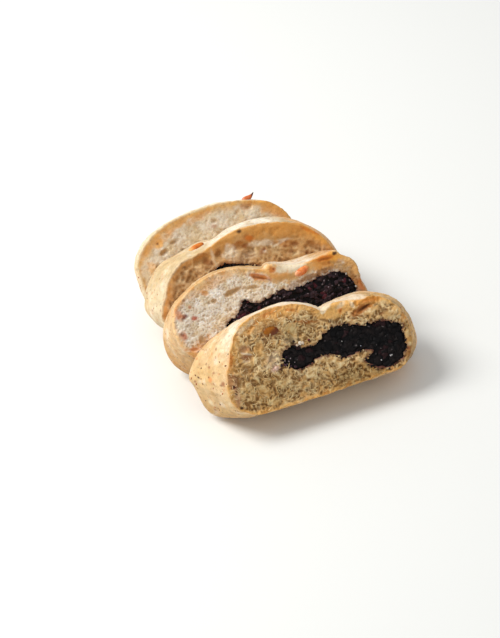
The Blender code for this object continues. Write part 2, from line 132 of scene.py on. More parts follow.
# Where the outline of each filling turns at the front face, from its left tip over the top and back below.
FILLING_1 = {
    "tip": (24.3, 24.2, 111, 0.63),
    "left_lobe": (34.2, 30.5, -29, 1.59),
    "dip": (42.9, 27.8, -9, 0.76),
    "right_lobe": (67.1, 32.9, -20, 2.2),
    "right_shoulder": (82.7, 30.2, -11, 2.13),
    "right_end": (95.9, 15.1, -91, 1.67),
    "base": (83.6, 3.8, -177, 0.44),
    "hook": (70.7, 9.1, 141, 2.05),
    "nose": (75.6, 15.4, 120, 0.88),
    "waist": (64.3, 16.2, -173, 1.48),
    "hump": (49.1, 20.9, 176, 1.07),
    "base_left": (33.6, 17.1, 174, 1.12),
}
FILLING_2 = {
    "tip": (6.7, 24.8, 116, 0.61),
    "left_shoulder": (10.1, 29.1, 18, 2.12),
    "left_lobe": (18.3, 36, 28, 1.21),
    "dip": (27.5, 33.4, -5, 0.85),
    "middle": (43.4, 36.4, -26, 0.73),
    "right_lobe": (74.1, 38.4, -2, 0.94),
    "right_end": (84.8, 23.8, -89, 1.43),
    "base_right": (75.7, 7.2, -161, 1.1),
    "waist": (46.5, 16.7, 170, 1.18),
}
FILLING_3 = {
    "tip": (12.2, 30, 116, 0.93),
    "lobe": (19.3, 37, 13, 0.9),
    "middle": (45.6, 29.1, -25, 1.48),
    "right_shoulder": (73.9, 23.8, -12, 0.94),
    "right_end": (81.7, 13.7, -108, 1.43),
    "base_right": (69.4, 6.6, 176, 0.7),
    "waist": (42.4, 15.8, 166, 1.34),
}
FILLINGS = (FILLING_1, FILLING_2, FILLING_3)

# From the front face to the rear face the filling widens and drifts: scales, then shifts.
FILLING_DRIFT = ((1.145, 0.96, 1.2, 1.8), (1.015, 0.96, 3.9, -0.5), (1.09, 0.91, -0.7, -0.3))

# Pits in each cut face: centre, half sizes, turn, depth.
PITS = (
    (
        (44.2, 41, 5.2, 1.3, -18, 1.5), (76.6, 39.3, 5, 1.5, 18, 1.7), (5, 36.8, 2.6, 1.9, -16, 1.6),
        (5.4, 31.4, 3.6, 1.9, -16, 1.8), (3.6, 25.2, 2.5, 3, -17, 2), (-2.2, 19.2, 2.2, 2.8, -17, 1.8),
        (13.8, 36.1, 2, 2.4, -16, 1.6), (14.4, 28.4, 2.4, 1.8, 20, 1.4), (22.8, 42.1, 5.6, 3.3, -7, 1),
    ),
    (
        (14.8, 43.4, 6.8, 1.7, 8, 1.5), (27, 42.4, 4.4, 1.1, -12, 1), (31.8, 47.2, 6.2, 1.6, -26, 0.8),
        (-0.9, 47, 1.8, 1.4, -16, 1), (3.1, 41.4, 1.8, 1.4, -16, 0.9), (-9.4, 22.6, 1.8, 2.2, -16, 1),
        (-15.4, 18.7, 3.4, 1, -14, 1),
    ),
    (
        (9.8, 43.2, 5.6, 3.7, -8, 2.6), (20.6, 43.9, 2.7, 2.2, 33, 1.8), (34.4, 45.4, 3.6, 2.7, -16, 1.5),
        (66, 37.4, 3, 2, -16, 1.1), (75.8, 34.4, 3.8, 2, -42, 1), (52.6, 41.4, 2.4, 1.5, -16, 0.8),
    ),
    (
        (-3.8, 34.1, 3.2, 1.7, 14, 1.6), (3.6, 38.6, 2.8, 1.3, 9, 1.4), (30, 44, 2.2, 1.5, -10, 1.2),
        (52.6, 46.2, 2.4, 1.6, -15, 1.4),
    ),
)

# How clearly a pale rim runs round the pits of each slice.
PIT_RIMS = (0.0, 0.3, 0.12, 0.25)

# Marks of each cut face, one over the other: kind, centre, half sizes, turn, strength. The kinds that
# brighten and darken, and the darkest tones in slits and hollows, are painted light and shade.
MARKS = (
    (
        ("lift", 17, 27, 12, 9, 0, 0.35), ("painted_shade", 72, 6, 24, 6, 4, 1), ("painted_shade", 30, 7, 24, 5, 4, 0.5),
        ("lift", 84, 38.5, 10, 4, -10, 0.6), ("lift", 20, 47, 26, 6, 8, 0.4),
        ("skin", 60.4, 42.6, 8.6, 4, 4, 0.75), ("glow", 66.5, 43, 4.8, 2.8, 10, 0.9),
        ("orange", 63.9, 42.1, 1.5, 1.1, 20, 0.9), ("cream", 56.8, 46.6, 4, 1.5, 40, 0.9),
        ("skin", 13.6, 34.6, 3, 4, -10, 0.5), ("slit_shade", 54.9, 38.9, 3.8, 0.9, -26, 0.7),
        ("shade", 63.8, 41.8, 0.8, 0.5, -10, 0.8), ("gold", 80.6, 42.8, 8.4, 2.6, -4, 0.8),
        ("orange", 81.6, 43, 5.6, 1.2, -2, 0.5), ("lift", 91, 38, 6, 3, -40, 0.5),
        ("rust", 76, 39, 6.4, 2.1, 18, 0.9), ("shade", 77.2, 39.6, 4.2, 1, 18, 0.9),
        ("slit_shade", 78.3, 40, 2.8, 0.6, 18, 0.8), ("pink", 5.2, 32.2, 3.4, 1.5, -16, 0.8),
        ("pale", 6.2, 34, 3.4, 0.5, -24, 0.8), ("pale", 4.8, 30.2, 3.4, 0.5, -8, 0.5),
        ("pink", 5.6, 36.9, 3.4, 1.7, -16, 0.6), ("gold", 25, 48, 20, 3.6, 8, 0.35),
        ("pale", 20, 26, 6, 4, 30, 0.3), ("lift", 9.6, 27.2, 2, 5.4, -12, 0.8),
        ("pale", 30, 34.6, 4, 2, 10, 0.15), ("shade", 22.8, 41.6, 6.6, 4.2, -7, 0.5),
        ("slit_shade", 17.8, 38.6, 1.3, 0.9, 0, 0.6), ("slit_shade", 24.4, 38, 1.1, 0.8, 0, 0.6),
        ("painted_shade", 33, 39.6, 4, 3, 0, 0.8), ("painted_shade", 33, 39.4, 14, 5, -4, 0.6),
        ("cream", 6.4, 47.2, 3, 1.6, 30, 0.5), ("cream", 13, 49.6, 4, 1.4, 26, 0.5),
        ("painted_shade", 14, 36, 3, 3.6, 0, 0.4), ("painted_shade", 23, 33.4, 5, 2.6, 0, 0.7), ("painted_shade", 62, 5, 24, 5, 4, 0.6),
        ("lift", 27, 36.4, 5, 3, -10, 0.25), ("painted_shade", 48, 13, 10, 4, 0, 0.3),
        ("painted_deep_shade", 32, 34.6, 3.2, 4, 0, 0.6), ("deep_hollow_shade", 32.4, 34, 1.8, 3.2, 4, 0.6),
        ("deep_hollow_shade", 36.6, 33.3, 1.1, 0.8, 0, 0.9), ("glow", 27, 51.4, 12, 2.6, 2, 0.9),
        ("orange", 24, 51.8, 6, 1, 6, 0.6), ("orange", 36, 50.4, 2.6, 0.8, -20, 0.6),
        ("gold", 14, 47.4, 6, 1.6, 30, 0.5), ("pink", -5, 17, 1.8, 9, -6, 0.55),
        ("orange", -3.4, 33, 1.2, 3.6, -16, 0.7), ("pink", -7, 22, 1.4, 4.4, -10, 0.7),
        ("dark", -4.6, 6.4, 0.9, 0.6, 0, 1), ("dark", 2, 5.4, 0.6, 0.8, 0, 0.8),
        ("dark", -5.6, 14.6, 0.8, 0.7, 0, 0.9), ("pink", -6.4, 10, 1.6, 2.4, 0, 0.4),
        ("burnt", -6, 18.6, 1.5, 1.1, 0, 1), ("dark", -5.8, 18.8, 0.8, 0.6, 0, 1),
        ("shade", -2.4, 20.4, 1.9, 3, -10, 0.45), ("shade", 4, 26.2, 2.2, 2.6, -10, 0.35),
        ("painted_shade", 11, 12, 16, 9, 10, 0.8), ("painted_shade", 99, 17, 3.4, 8, 4, 0.9),
        # The umber mark at the lower right end is painted shade.
        ("umber", 97.2, 8.4, 3.4, 5, -24, 0.9), ("cream", 65, 44.6, 3.4, 1.4, 20, 0.5),
        ("cream", 71.4, 43.4, 1.2, 2.4, 10, 0.6), ("rust", 44.2, 41.3, 5.4, 0.9, -16, 0.8),
        ("dark", 99, 22, 0.5, 0.9, 0, 0.6), ("burnt", 98.9, 17.4, 0.7, 0.6, 0, 0.7),
        ("burnt", 89.8, 35.3, 0.6, 0.5, 0, 0.6), ("shade", 87, 33.9, 1.4, 0.6, -10, 0.7),
        ("burnt", 96.4, 11, 0.8, 0.8, 0, 0.6), ("blush", 19.6, 21.7, 2, 1.3, 10, 1),
        ("burnt", 22.6, 20.9, 0.9, 0.7, 0, 0.7), ("cream", 21.4, 23.9, 1.6, 0.4, -24, 0.9),
    ),
    (
        ("skin", 46, 46.4, 14, 6, -4, 0.95), ("skin", 68, 44.8, 12, 4.6, -4, 0.95),
        ("gold", 72, 45.6, 10, 4, -6, 1), ("cream", 51, 47.4, 9, 3, -3, 0.95),
        ("gold", 44, 44.4, 7, 2, -12, 0.8), ("glow", 38.8, 49.4, 3.4, 2.8, -30, 0.8),
        ("orange", 40.4, 48.9, 2, 1.7, 0, 0.9), ("burnt", 41, 49.2, 0.7, 0.5, 0, 0.8),
        ("cream", 36.1, 51.8, 2.2, 1, 20, 0.7), ("amber", 77, 46.2, 5.4, 2.6, -8, 0.9),
        ("orange", 71.5, 47, 5.6, 1.6, -4, 1), ("shade", 72, 46.6, 3.4, 0.7, -4, 0.7),
        ("shade", 73.6, 44, 0.9, 0.7, -8, 0.9), ("rust", 72.6, 44.2, 4, 1.2, -6, 0.6),
        ("tan", 86, 35, 4.4, 10, 6, 0.95), ("glow", 87.6, 36.2, 2.8, 3.4, 6, 0.6),
        ("rust", 88.6, 26.6, 2.6, 3.6, 6, 0.7), ("orange", 88.6, 28, 2.2, 4, 6, 0.5),
        ("gold", 33, 51, 3, 1.6, 20, 0.8), ("tan", 14.8, 43.4, 6.8, 1.6, 8, 1),
        ("tan", 27, 42.4, 4.4, 1, -12, 0.8), ("tan", 3.1, 41.4, 1.9, 1.4, -16, 0.9),
        ("gold", -0.9, 47, 2, 1.5, -16, 0.9), ("orange", 31.8, 47.4, 6.8, 1.6, -26, 0.9),
        ("shade", 33.4, 46, 5.2, 0.7, -26, 0.9), ("red", -10.5, 35.2, 1.5, 1.3, 0, 1),
        ("orange", -17.4, 37.8, 2.8, 2, 20, 0.5), ("burnt", -16.2, 37.2, 2.2, 1.3, 20, 1),
        ("orange", -19, 28, 2, 2.6, 0, 0.6), ("burnt", -19.4, 28.6, 0.9, 1.3, 0, 0.7),
        ("red", -18, 26.6, 1.2, 1.8, 0, 0.6), ("red", -11.3, 42.1, 0.9, 0.8, 0, 0.6),
        ("burnt", -13.6, 46.4, 1, 0.8, 0, 0.8), ("orange", -18.6, 39.8, 2.2, 3, 0, 0.7),
        ("gold", -12, 16, 8, 6, 40, 0.9), ("dark", 78.3, 48, 1.3, 0.9, 10, 1),
        ("tan", -9.4, 22.6, 2, 2.3, 0, 0.8), ("orange", -15.2, 18.7, 3.2, 1, -14, 0.7),
        ("pale", -18.6, 33.4, 2.6, 3.4, -14, 0.6), ("painted_shade", 47, 41, 12, 2.4, 6, 0.4),
        ("gold", 4, 50.4, 14, 2.4, 14, 0.5), ("painted_shade", 82, 30, 3, 10, 6, 0.8),
        ("umber", 51, 37.8, 7, 1.4, 8, 0.6), ("umber", 60, 39, 7, 1.6, 4, 0.85),
        ("umber", 70, 40.1, 7, 1.6, 2, 0.9), ("tan", 79.4, 40.2, 5.4, 2.6, -34, 0.9),
        ("glow", 85, 41, 3.4, 2.2, -34, 0.6), ("umber", 85.4, 29, 1.8, 7, 6, 0.8),
        ("tan", 47, 42.6, 8, 1.6, -4, 0.6),
    ),
    (
        ("skin", 40, 50, 30, 6, -3, 0.5), ("skin", 66, 42, 16, 6, -24, 0.45),
        ("painted_shade", 44, 47.6, 30, 6, -5, 0.6), ("painted_shade", 54, 38, 30, 7, -10, 0.6),
        ("gold", 62, 47.4, 20, 4, -14, 0.5), ("glow", 32, 53.2, 12, 1.8, 8, 0.7),
        ("glow", 52, 53.2, 12, 1.4, -8, 0.5), ("painted_deep_shade", -5, 30, 8, 15, -24, 0.7),
        ("amber", 79, 41.6, 10, 2.8, -52, 0.6), ("orange", 77.8, 41.8, 6.8, 0.9, -38, 0.8),
        ("tan", 9.8, 43.6, 5.8, 3.8, -8, 0.75), ("shade", 13.2, 40.6, 2.8, 1.8, -30, 0.9),
        ("cream", 17, 43.4, 1.2, 4.8, 6, 0.6), ("tan", 20.5, 43.7, 4, 3.4, 30, 0.7),
        ("umber", 20.6, 43.9, 2.5, 1.9, 33, 0.65), ("lift", 24.6, 38.6, 2.8, 2, 0, 0.9),
        ("pale", 27.2, 43, 4.4, 3.6, 24, 0.9), ("rust", 34, 45.6, 3.4, 2.6, -10, 0.45),
        ("rust", 39.9, 48.2, 2.9, 2, -20, 0.75), ("orange", 40.8, 47.9, 2.2, 1.5, -10, 0.8),
        ("pale", 47.8, 42.9, 6.8, 1.6, -10, 0.8), ("rust", 60.9, 38.9, 5, 2.2, -16, 0.45),
        ("shade", 37.2, 44.6, 1.9, 1.2, 0, 1), ("pink", 46.2, 38.6, 2.2, 1.7, 0, 0.7),
        ("pale", 47.4, 38, 1.6, 0.7, 0, 0.7), ("pale", 57.5, 40.4, 4.4, 0.7, 14, 0.7),
        ("shade", 66, 37.4, 2.8, 1.8, -16, 0.8), ("shade", 60, 37.6, 1.5, 1, 0, 0.9),
        ("shade", 62.6, 34.2, 1.8, 1.2, 0, 0.9), ("pale", 60, 41.6, 6, 0.5, -8, 0.6),
        ("shade", 72.6, 30.2, 2.6, 1.3, -20, 0.7), ("shade", 75.8, 34.4, 4, 2.1, -42, 0.45),
        ("dark", 36, 53.2, 1.4, 0.9, 0, 1), ("pale", 34, 38.6, 9, 3, -8, 0.25),
        ("dark", -0.9, 42.2, 1, 0.8, 0, 0.8), ("painted_shade", 2, 36, 3.4, 2.6, 30, 0.8),
        ("burnt", -8, 26, 0.9, 1.2, 0, 0.6), ("burnt", -12.4, 24, 0.8, 1.2, 0, 0.6),
    ),
    (
        ("pale", -17, 24, 2.6, 12, -4, 0.3), ("tan", -4.9, 34.7, 2.8, 1.6, 14, 1),
        ("tan", 2.6, 38.4, 2.4, 1.3, 9, 0.8), ("rust", 50.5, 47.2, 3.4, 2, 10, 0.5),
        ("amber", -5.6, 39.4, 3.2, 2, 42, 0.8), ("burnt", -6.6, 40.2, 0.9, 0.7, 0, 0.9),
        ("gold", 66, 42, 10, 4.4, -30, 0.6), ("pale", 56, 44, 3.4, 2.2, 0, 0.6),
        ("gold", -1, 42.4, 5.4, 1.8, 24, 0.45), ("gold", -9, 40.8, 9, 1.7, 38, 0.6),
        ("gold", 8, 47, 9, 1.5, 18, 0.5), ("gold", 22, 48.8, 9, 2, 18, 0.6),
        ("pink", 29, 41, 1.6, 0.9, 0, 0.6), ("tan", 30, 44, 2.2, 1, -10, 0.6),
        ("tan", 33, 38, 1.6, 0.9, 0, 0.6), ("amber", -13.6, 27, 2.4, 4, 0, 0.5),
        ("tan", -10, 28, 1.6, 1.6, 0, 0.7),
    ),
)

# Rounding of each cut edge, and where it is wider: along, up, reach, radius.
EDGE_ROUND = (
    (0.25, ((-5, 6, 9, 0.6), (97, 22, 27, 1.7), (67, 44.5, 14, 3.2))),
    (0.5, ((-20, 16, 16, 3.2), (-20, 36, 14, 1.8), (51, 50, 13, 3.6), (80, 44, 15, 2.6), (90, 24, 18, 2.4),
           (37, 51, 7, 2.2))),
    (0.35, ((-18, 10, 12, 1.2), (78, 42, 24, 2.6), (88, 18, 18, 2.6), (-14, 34, 10, 0.9))),
    (0.5, ((-20, 12, 12, 1.4), (70, 42, 22, 2.4), (80, 18, 18, 2.4))),
)


def rgb(red, green, blue):
    """Linear colour from the display values."""
    shown = np.array((red, green, blue)) / 255.0
    return np.where(shown <= 0.04045, shown / 12.92, ((shown + 0.055) / 1.055) ** 2.4)


# Colours of each slice: crumb, painted shade in its hollows and pores, strands, ring under the crust.
CRUMB = (
    (rgb(208, 164, 104), rgb(108, 68, 26), rgb(242, 220, 172), rgb(246, 186, 100)),
    (rgb(236, 222, 200), rgb(172, 132, 88), rgb(252, 248, 242), rgb(234, 180, 98)),
    (rgb(202, 158, 106), rgb(124, 80, 38), rgb(240, 214, 170), rgb(226, 162, 82)),
    (rgb(216, 196, 166), rgb(172, 134, 92), rgb(240, 230, 210), rgb(226, 168, 80)),
)
# Form of each slice's crumb: size of the hollows, thickness of the films, how rare solid parts are,
# depth of the hollows, threads, share of small pores, strength of the hollows, and of the round pores
# their spacing, share and depth.
CRUMB_FORM = (
    (3.3, 0.12, 0.5, 1.1, 1.0, 0.3, 0.88, (3.4, 0.3, 0.5)),
    (2.2, 0.22, 0.3, 0.5, 0.6, 0.3, 0.62, (3.2, 0.6, 0.7)),
    (4.2, 0.2, 0.25, 1.2, 0.5, 0.2, 0.7, (5.6, 0.5, 1.0)),
    (2.2, 0.22, 0.3, 0.5, 0.4, 0.3, 0.35, (3.6, 0.6, 0.5)),
)
# How often the relief and the colours of each cut face are eased.
EASINGS = ((2, 1), (1, 1), (5, 4), (3, 3))
# Colours of each slice's crust: pale, golden, and near the bottom, the baked bottom's colour with
# painted warm bounce light from below.
CRUST = (
    (rgb(226, 194, 148), rgb(216, 180, 124), rgb(196, 152, 84)),
    (rgb(218, 184, 134), rgb(206, 158, 92), rgb(190, 140, 68)),
    (rgb(216, 198, 164), rgb(208, 182, 136), rgb(198, 164, 108)),
    (rgb(228, 208, 172), rgb(220, 190, 144), rgb(204, 160, 100)),
)
# Flour dust and a painted highlight on the top of each slice's crust: from and to along it, strength,
# depth where it is full.
TOP_FLOUR_AND_HIGHLIGHT = ((-12, 90, 0.7, 3), (42, 66, 0.8, 3), (18, 60, 0.9, 3), (-26, 60, 0.6, 1))
# Golden right side of each slice's crust: along where it starts and where it is full, and its colour.
GOLDEN_SIDE = (
    (78, 92, rgb(232, 178, 108)), (64, 82, rgb(206, 144, 82)),
    (60, 70, rgb(222, 160, 80)), (54, 72, rgb(222, 172, 104)),
)
# Where the right ends of the first slices are rubbed down to the crumb: along where it starts and where it is
# full, depth where it is gone and where it is still full, and its colour.
WORN = ((76, 84, 24, 14, rgb(206, 162, 92)), (82, 90, 18, 8, rgb(200, 148, 90)))
# Smooth golden band under each slice's crust: width, strength, colour of its smooth dough.
BAND = (
    (4.2, 0.62, rgb(232, 178, 100)), (3.4, 0.75, rgb(224, 170, 96)),
    (5.4, 0.8, rgb(222, 164, 88)), (4.6, 1.0, rgb(236, 184, 98)),
)
# Where the band is narrower: along, up, reach, factor.
BAND_THIN = (
    ((10, 0, 24, 0.4), (45, 0, 26, 0.3), (78, 2, 28, 0.3), (97, 22, 27, 0.12),
     (-8, 20, 14, 0.7)),
    ((-20, 30, 22, 0.6), (86, 26, 22, 0.6)),
    ((-10, 24, 30, 0.6), (60, 4, 40, 0.6)),
    ((-18, 14, 28, 0.75),),
)
# Pale outermost line of the cut faces: width, along where it starts to fade and where it is gone.
PALE_LINES = ((0, 0, 1), (0, 0, 1), (1.5, 4, 14), (1.6, 20, 60))
# What a mark does: a colour to blend in or, for the kinds in FACTORS, to multiply by, and how far.
# The kinds in FACTORS paint light and shade: the one that brightens is painted light, the two that
# darken are painted shade. A skin is smooth dough between lobes and takes its colour from the band.
TONES = {
    "skin": (None, 0.8), "shade": (rgb(128, 70, 24), 0.85), "gold": (rgb(222, 150, 62), 0.75),
    # The darkest brown, for slits and deep pits, is painted shade.
    "slit_shade": (rgb(72, 34, 8), 0.95), "glow": (rgb(246, 188, 112), 0.85), "amber": (rgb(250, 180, 78), 0.85),
    "orange": (rgb(208, 112, 30), 0.85), "pale": (rgb(240, 226, 202), 0.8), "pink": (rgb(172, 114, 84), 0.85),
    "red": (rgb(188, 84, 50), 0.85), "dark": (rgb(60, 34, 26), 0.95), "tan": (rgb(188, 144, 88), 0.85),
    "cream": (rgb(236, 222, 194), 0.95), "burnt": (rgb(118, 54, 34), 0.9), "rust": (rgb(178, 104, 40), 0.9),
    # The dark olive is painted shade in a deep hollow of the first face.
    "umber": (rgb(148, 98, 50), 0.9), "blush": (rgb(214, 180, 162), 0.9), "deep_hollow_shade": (rgb(92, 72, 40), 0.9),
    "lift": (np.array((1.3, 1.34, 1.4)), 1.0), "painted_shade": (np.array((0.8, 0.76, 0.66)), 1.0),
    "painted_deep_shade": (np.array((0.62, 0.6, 0.58)), 1.0),
}
FACTORS = ("lift", "painted_shade", "painted_deep_shade")
TOASTED = rgb(206, 138, 64)
STAIN = rgb(112, 66, 60)
BRAN = rgb(128, 82, 52)
ROSY = rgb(182, 118, 84)
YELLOWED = rgb(222, 194, 144)
WHITER = rgb(240, 232, 220)
FLOUR_AND_HIGHLIGHT_WHITE = rgb(244, 234, 216)
# Brown and pale spots on the first slice's left crust: along, up, into the slice, radius, colour.
# The pale spot low by the cut edge, at -12 along, is a painted highlight.
CRUST_SPOTS = (
    (-13.5, 33.7, 16.1, 1, rgb(126, 82, 54)), (-13.3, 32, 13.5, 0.8, rgb(168, 106, 62)),
    (-14.6, 34.8, 17.4, 0.6, rgb(120, 78, 52)), (-6.8, 40.4, 12.2, 0.7, rgb(150, 104, 70)),
    (-14.9, 25.2, 10.8, 1.7, rgb(222, 146, 82)), (-15.4, 26.6, 12, 0.8, rgb(190, 108, 58)),
    (-10.5, 21.5, 2.9, 1.7, rgb(160, 98, 62)), (-11.4, 21, 4.6, 1, rgb(132, 76, 46)),
    (-19.5, 16, 26.7, 1, rgb(160, 104, 66)), (-15, 7.6, 20.3, 1.2, rgb(170, 120, 76)),
    (-21, 25.5, 22.7, 0.9, rgb(150, 96, 66)), (-12, 9.4, 2.6, 3.2, rgb(236, 218, 176)),
    (-15.7, 17.4, 12.1, 2.4, rgb(204, 164, 106)), (-17.6, 12, 18, 2.8, rgb(236, 220, 184)),
    (-9.4, 30, 6.4, 0.7, rgb(156, 104, 70)), (-17.8, 36.4, 25, 0.6, rgb(140, 92, 62)),
)
# Specks painted on the crust: spacing, largest radius, colour, strength.
CRUST_SPECKS = (
    (2.1, 0.55, rgb(128, 82, 52), 0.75), (3.4, 1.25, rgb(204, 122, 58), 0.6),
    (5.2, 1.3, rgb(146, 76, 44), 0.85),
)
# Bran flecks: how many lie on each slice, and their colours.
FLECK_COUNTS = (460, 300, 110, 300)
FLECKS = (
    rgb(142, 88, 56), rgb(176, 114, 72), rgb(108, 68, 48), rgb(192, 122, 74), rgb(172, 90, 62),
    rgb(190, 144, 98),
)
# Fruit and nut: slice, centre, half sizes, turn, pull of the tip, depth of the folds or None for a nut's
# ribs, and colour. Then the tones over it: colour, the sum of along, up and mottling at which the tone starts
# and the sum at which it is full, the share of each of the three, and strength.
PIECES = (
    ("raisin_1", 0, (22.8, 42.1, 2.0), (5.3, 3.0, 2.3), -7.0, 0.0, 0.06, rgb(160, 94, 4),
     ((rgb(112, 50, 4), -0.4, 0.5, (1.0 / 5.3, -0.2, 0.6), 1.0),)),
    ("raisin_2", 1, (56.9, 43.6, 1.0), (5.2, 2.6, 2.6), 16.0, 0.2, 0.13, rgb(244, 152, 86),
     ((rgb(222, 118, 58), -0.4, 0.5, (0.0, 0.0, 1.0), 1.0),
      # The pale tone at the left end is a painted highlight.
      (rgb(248, 196, 156), -1.0, -4.4, (1.0, 0.0, 1.4), 0.7),
      (rgb(232, 164, 92), 1.6, 4.6, (1.0, 0.0, 1.4), 0.7))),
    ("almond_3", 2, (11.6, 50.6, 12.4), (5.2, 2.0, 3.2), 14.0, 0.1, None, rgb(216, 124, 44),
     ((rgb(192, 98, 30), -0.3, 0.5, (0.0, 0.0, 1.0), 1.0),
      (rgb(228, 172, 104), -1.2, -4.0, (1.0, 0.0, 0.0), 1.0))),
    ("raisin_4", 3, (54.6, 51.4, 3.2), (4.4, 2.5, 2.3), 12.0, 0.9, 0.13, rgb(206, 112, 62),
     ((rgb(86, 44, 34), 1.2, 3.0, (1.0, 0.0, 1.0), 1.0),)),
)
# Berry filling of each slice: dark, plum, maroon, and a pale grey for painted glints. Then its sides,
# which hardly show.
FILLING_TONES = (
    (rgb(8, 6, 7), rgb(32, 24, 22), rgb(50, 24, 26), rgb(100, 92, 92)),
    (rgb(10, 7, 9), rgb(58, 42, 48), rgb(96, 38, 50), rgb(150, 138, 144)),
    (rgb(10, 8, 9), rgb(34, 22, 24), rgb(70, 26, 32), rgb(84, 70, 76)),
)
FILLING_SIDE = rgb(24, 16, 22)
# Loose grains on the first face, crumb and then berry: along, up, radius, depth, colour. The
# grey-white ones on the filling, from 60 along on, are painted glints.
PALE_GRAINS_AND_GLINTS = (
    (36.6, 31.3, 1.2, 0.5, rgb(232, 218, 200)), (34.8, 30.6, 0.8, 0.5, rgb(216, 192, 168)),
    (38.2, 31, 1.1, 0.6, rgb(222, 202, 178)), (19.8, 21.8, 1.25, 0.3, rgb(222, 190, 172)),
    (18.6, 21.4, 0.95, 0.4, rgb(206, 170, 150)), (28, 23.4, 0.42, 0.9, rgb(150, 132, 136)),
    (29.4, 24.7, 0.36, 1, rgb(160, 146, 150)), (25.9, 24.2, 0.42, 0.9, rgb(150, 130, 134)),
    (31.2, 22, 0.34, 1, rgb(130, 114, 122)), (27, 25.6, 0.3, 1, rgb(140, 124, 130)),
    (26.8, 22.2, 0.34, 1, rgb(130, 110, 118)), (85.3, 9.9, 0.46, 0.8, rgb(190, 190, 192)),
    (86.1, 10.1, 0.4, 0.8, rgb(180, 182, 184)), (79.4, 9, 0.4, 0.6, rgb(190, 188, 192)),
    (60.2, 25.4, 0.38, 0.8, rgb(150, 150, 154)), (70, 20, 0.28, 0.6, rgb(180, 180, 186)),
)
PURPLE_GRAINS = (
    (25.6, 22, 0.9, 0.7, rgb(70, 46, 62)), (28.4, 20.6, 0.8, 0.7, rgb(56, 36, 46)),
    (23.4, 22.4, 0.8, 0.6, rgb(60, 40, 48)), (22.4, 20.8, 0.9, 0.4, rgb(96, 60, 44)),
    (30.8, 19.6, 0.9, 0.7, rgb(60, 38, 48)), (27.2, 26, 0.7, 0.5, rgb(44, 28, 36)),
    (42, 31.6, 0.8, 0.4, rgb(104, 52, 50)), (33.6, 33.2, 0.8, 0.5, rgb(52, 34, 30)),
)
# Threads of crumb on the first face, how many and the last place along it that has any. Then bits along the
# outline of each filling, and how dark the crumb's bits are on each slice.
THREAD_COUNT = 280
THREADS_END = 74.0
CRUMB_BITS = 24
BERRY_BITS = 60
BIT_SHADE = (0.6, 0.42, 0.6)


def smooth(low, high, value):
    """Eased step from 0 at low to 1 at high."""
    t = np.clip((value - low) / (high - low), 0.0, 1.0)
    return t * t * (3.0 - 2.0 * t)


def hashed(i, j, k, seed):
    """Even random numbers from 0 to 1 for whole-numbered cells."""
    n = i.astype(np.int64).astype(np.uint64) * np.uint64(73856093)
    n = n ^ (np.asarray(j).astype(np.int64).astype(np.uint64) * np.uint64(19349663))
    n = n ^ (np.asarray(k).astype(np.int64).astype(np.uint64) * np.uint64(83492791))
    n = n ^ np.uint64(seed * 2654435761 + 97)
    n = (n ^ (n >> np.uint64(15))) * np.uint64(2246822519)
    n = (n ^ (n >> np.uint64(13))) * np.uint64(3266489917)
    n = n ^ (n >> np.uint64(16))
    return (n & np.uint64(0xFFFFFF)).astype(float) / float(0xFFFFFF)


def spread(count, seed):
    """Even random numbers from 0 to 1."""
    numbers = np.arange(count)
    return hashed(numbers, numbers * 7 + 3, numbers * 0 + seed, seed)


def noise(x, y, z, size, seed):
    """Smooth random field from -1 to 1 with features of the given size."""
    scaled = [np.asarray(a, float) / size for a in (x, y, z)]
    whole = [np.floor(a) for a in scaled]
    part = [(a - low) ** 2 * (3.0 - 2.0 * (a - low)) for a, low in zip(scaled, whole)]
    total = 0.0
    for corner in product((0, 1), repeat=3):
        weight = 1.0
        for far, t in zip(corner, part):
            weight = weight * (t if far else 1.0 - t)
        total = total + weight * hashed(*(low + far for low, far in zip(whole, corner)), seed)
    return total * 2.0 - 1.0


def clouds(x, y, z, size, seed, layers=3):
    """Noise of several sizes, each half as large and half as strong as the last."""
    total = sum(noise(x, y, z, size / 2 ** layer, seed + layer) / 2 ** layer for layer in range(layers))
    return total / (2.0 - 2.0 ** (1 - layers))


def cells(x, y, size, seed):
    """Distance to the nearest scattered point, to the next one, and a random number of the nearest."""
    gx, gy = np.floor(x / size), np.floor(y / size)
    near = np.full(np.shape(x), 1e9)
    next_near = near.copy()
    ident = np.zeros(np.shape(x))
    for i, j in product((-1, 0, 1), repeat=2):
        cx, cy = gx + i, gy + j
        px = (cx + 0.5 + CELL_JITTER * (hashed(cx, cy, cx * 0, seed) - 0.5)) * size
        py = (cy + 0.5 + CELL_JITTER * (hashed(cx, cy, cx * 0 + 1, seed) - 0.5)) * size
        away = np.hypot(x - px, y - py)
        closer = away < near
        next_near = np.where(closer, near, np.minimum(next_near, away))
        ident = np.where(closer, hashed(cx, cy, cx * 0 + 2, seed), ident)
        near = np.where(closer, away, near)
    return near, next_near, ident


def specks(x, y, z, size, seed):
    """Distance to the nearest of the points scattered in space, and its random number."""
    home = [np.floor(a / size) for a in (x, y, z)]
    near = np.full(np.shape(x), 1e9)
    ident = np.zeros(np.shape(x))
    for move in product((-1, 0, 1), repeat=3):
        cell = [low + step for low, step in zip(home, move)]
        away = 0.0
        for axis, a in enumerate((x, y, z)):
            away = away + (a - (cell[axis] + hashed(*cell, seed + axis)) * size) ** 2
        closer = away < near
        ident = np.where(closer, hashed(*cell, seed + 3), ident)
        near = np.where(closer, away, near)
    return np.sqrt(near), ident


def strands(x, y, size, seed, width):
    """Thin curving threads from 0 to 1, broken up here and there."""
    line = np.abs(noise(x, y, x * 0.0 + seed, size, seed))
    broken = smooth(-0.25, 0.35, noise(x, y, x * 0.0, size * 2.2, seed + 50))
    return np.clip(1.0 - line / width, 0.0, 1.0) * broken


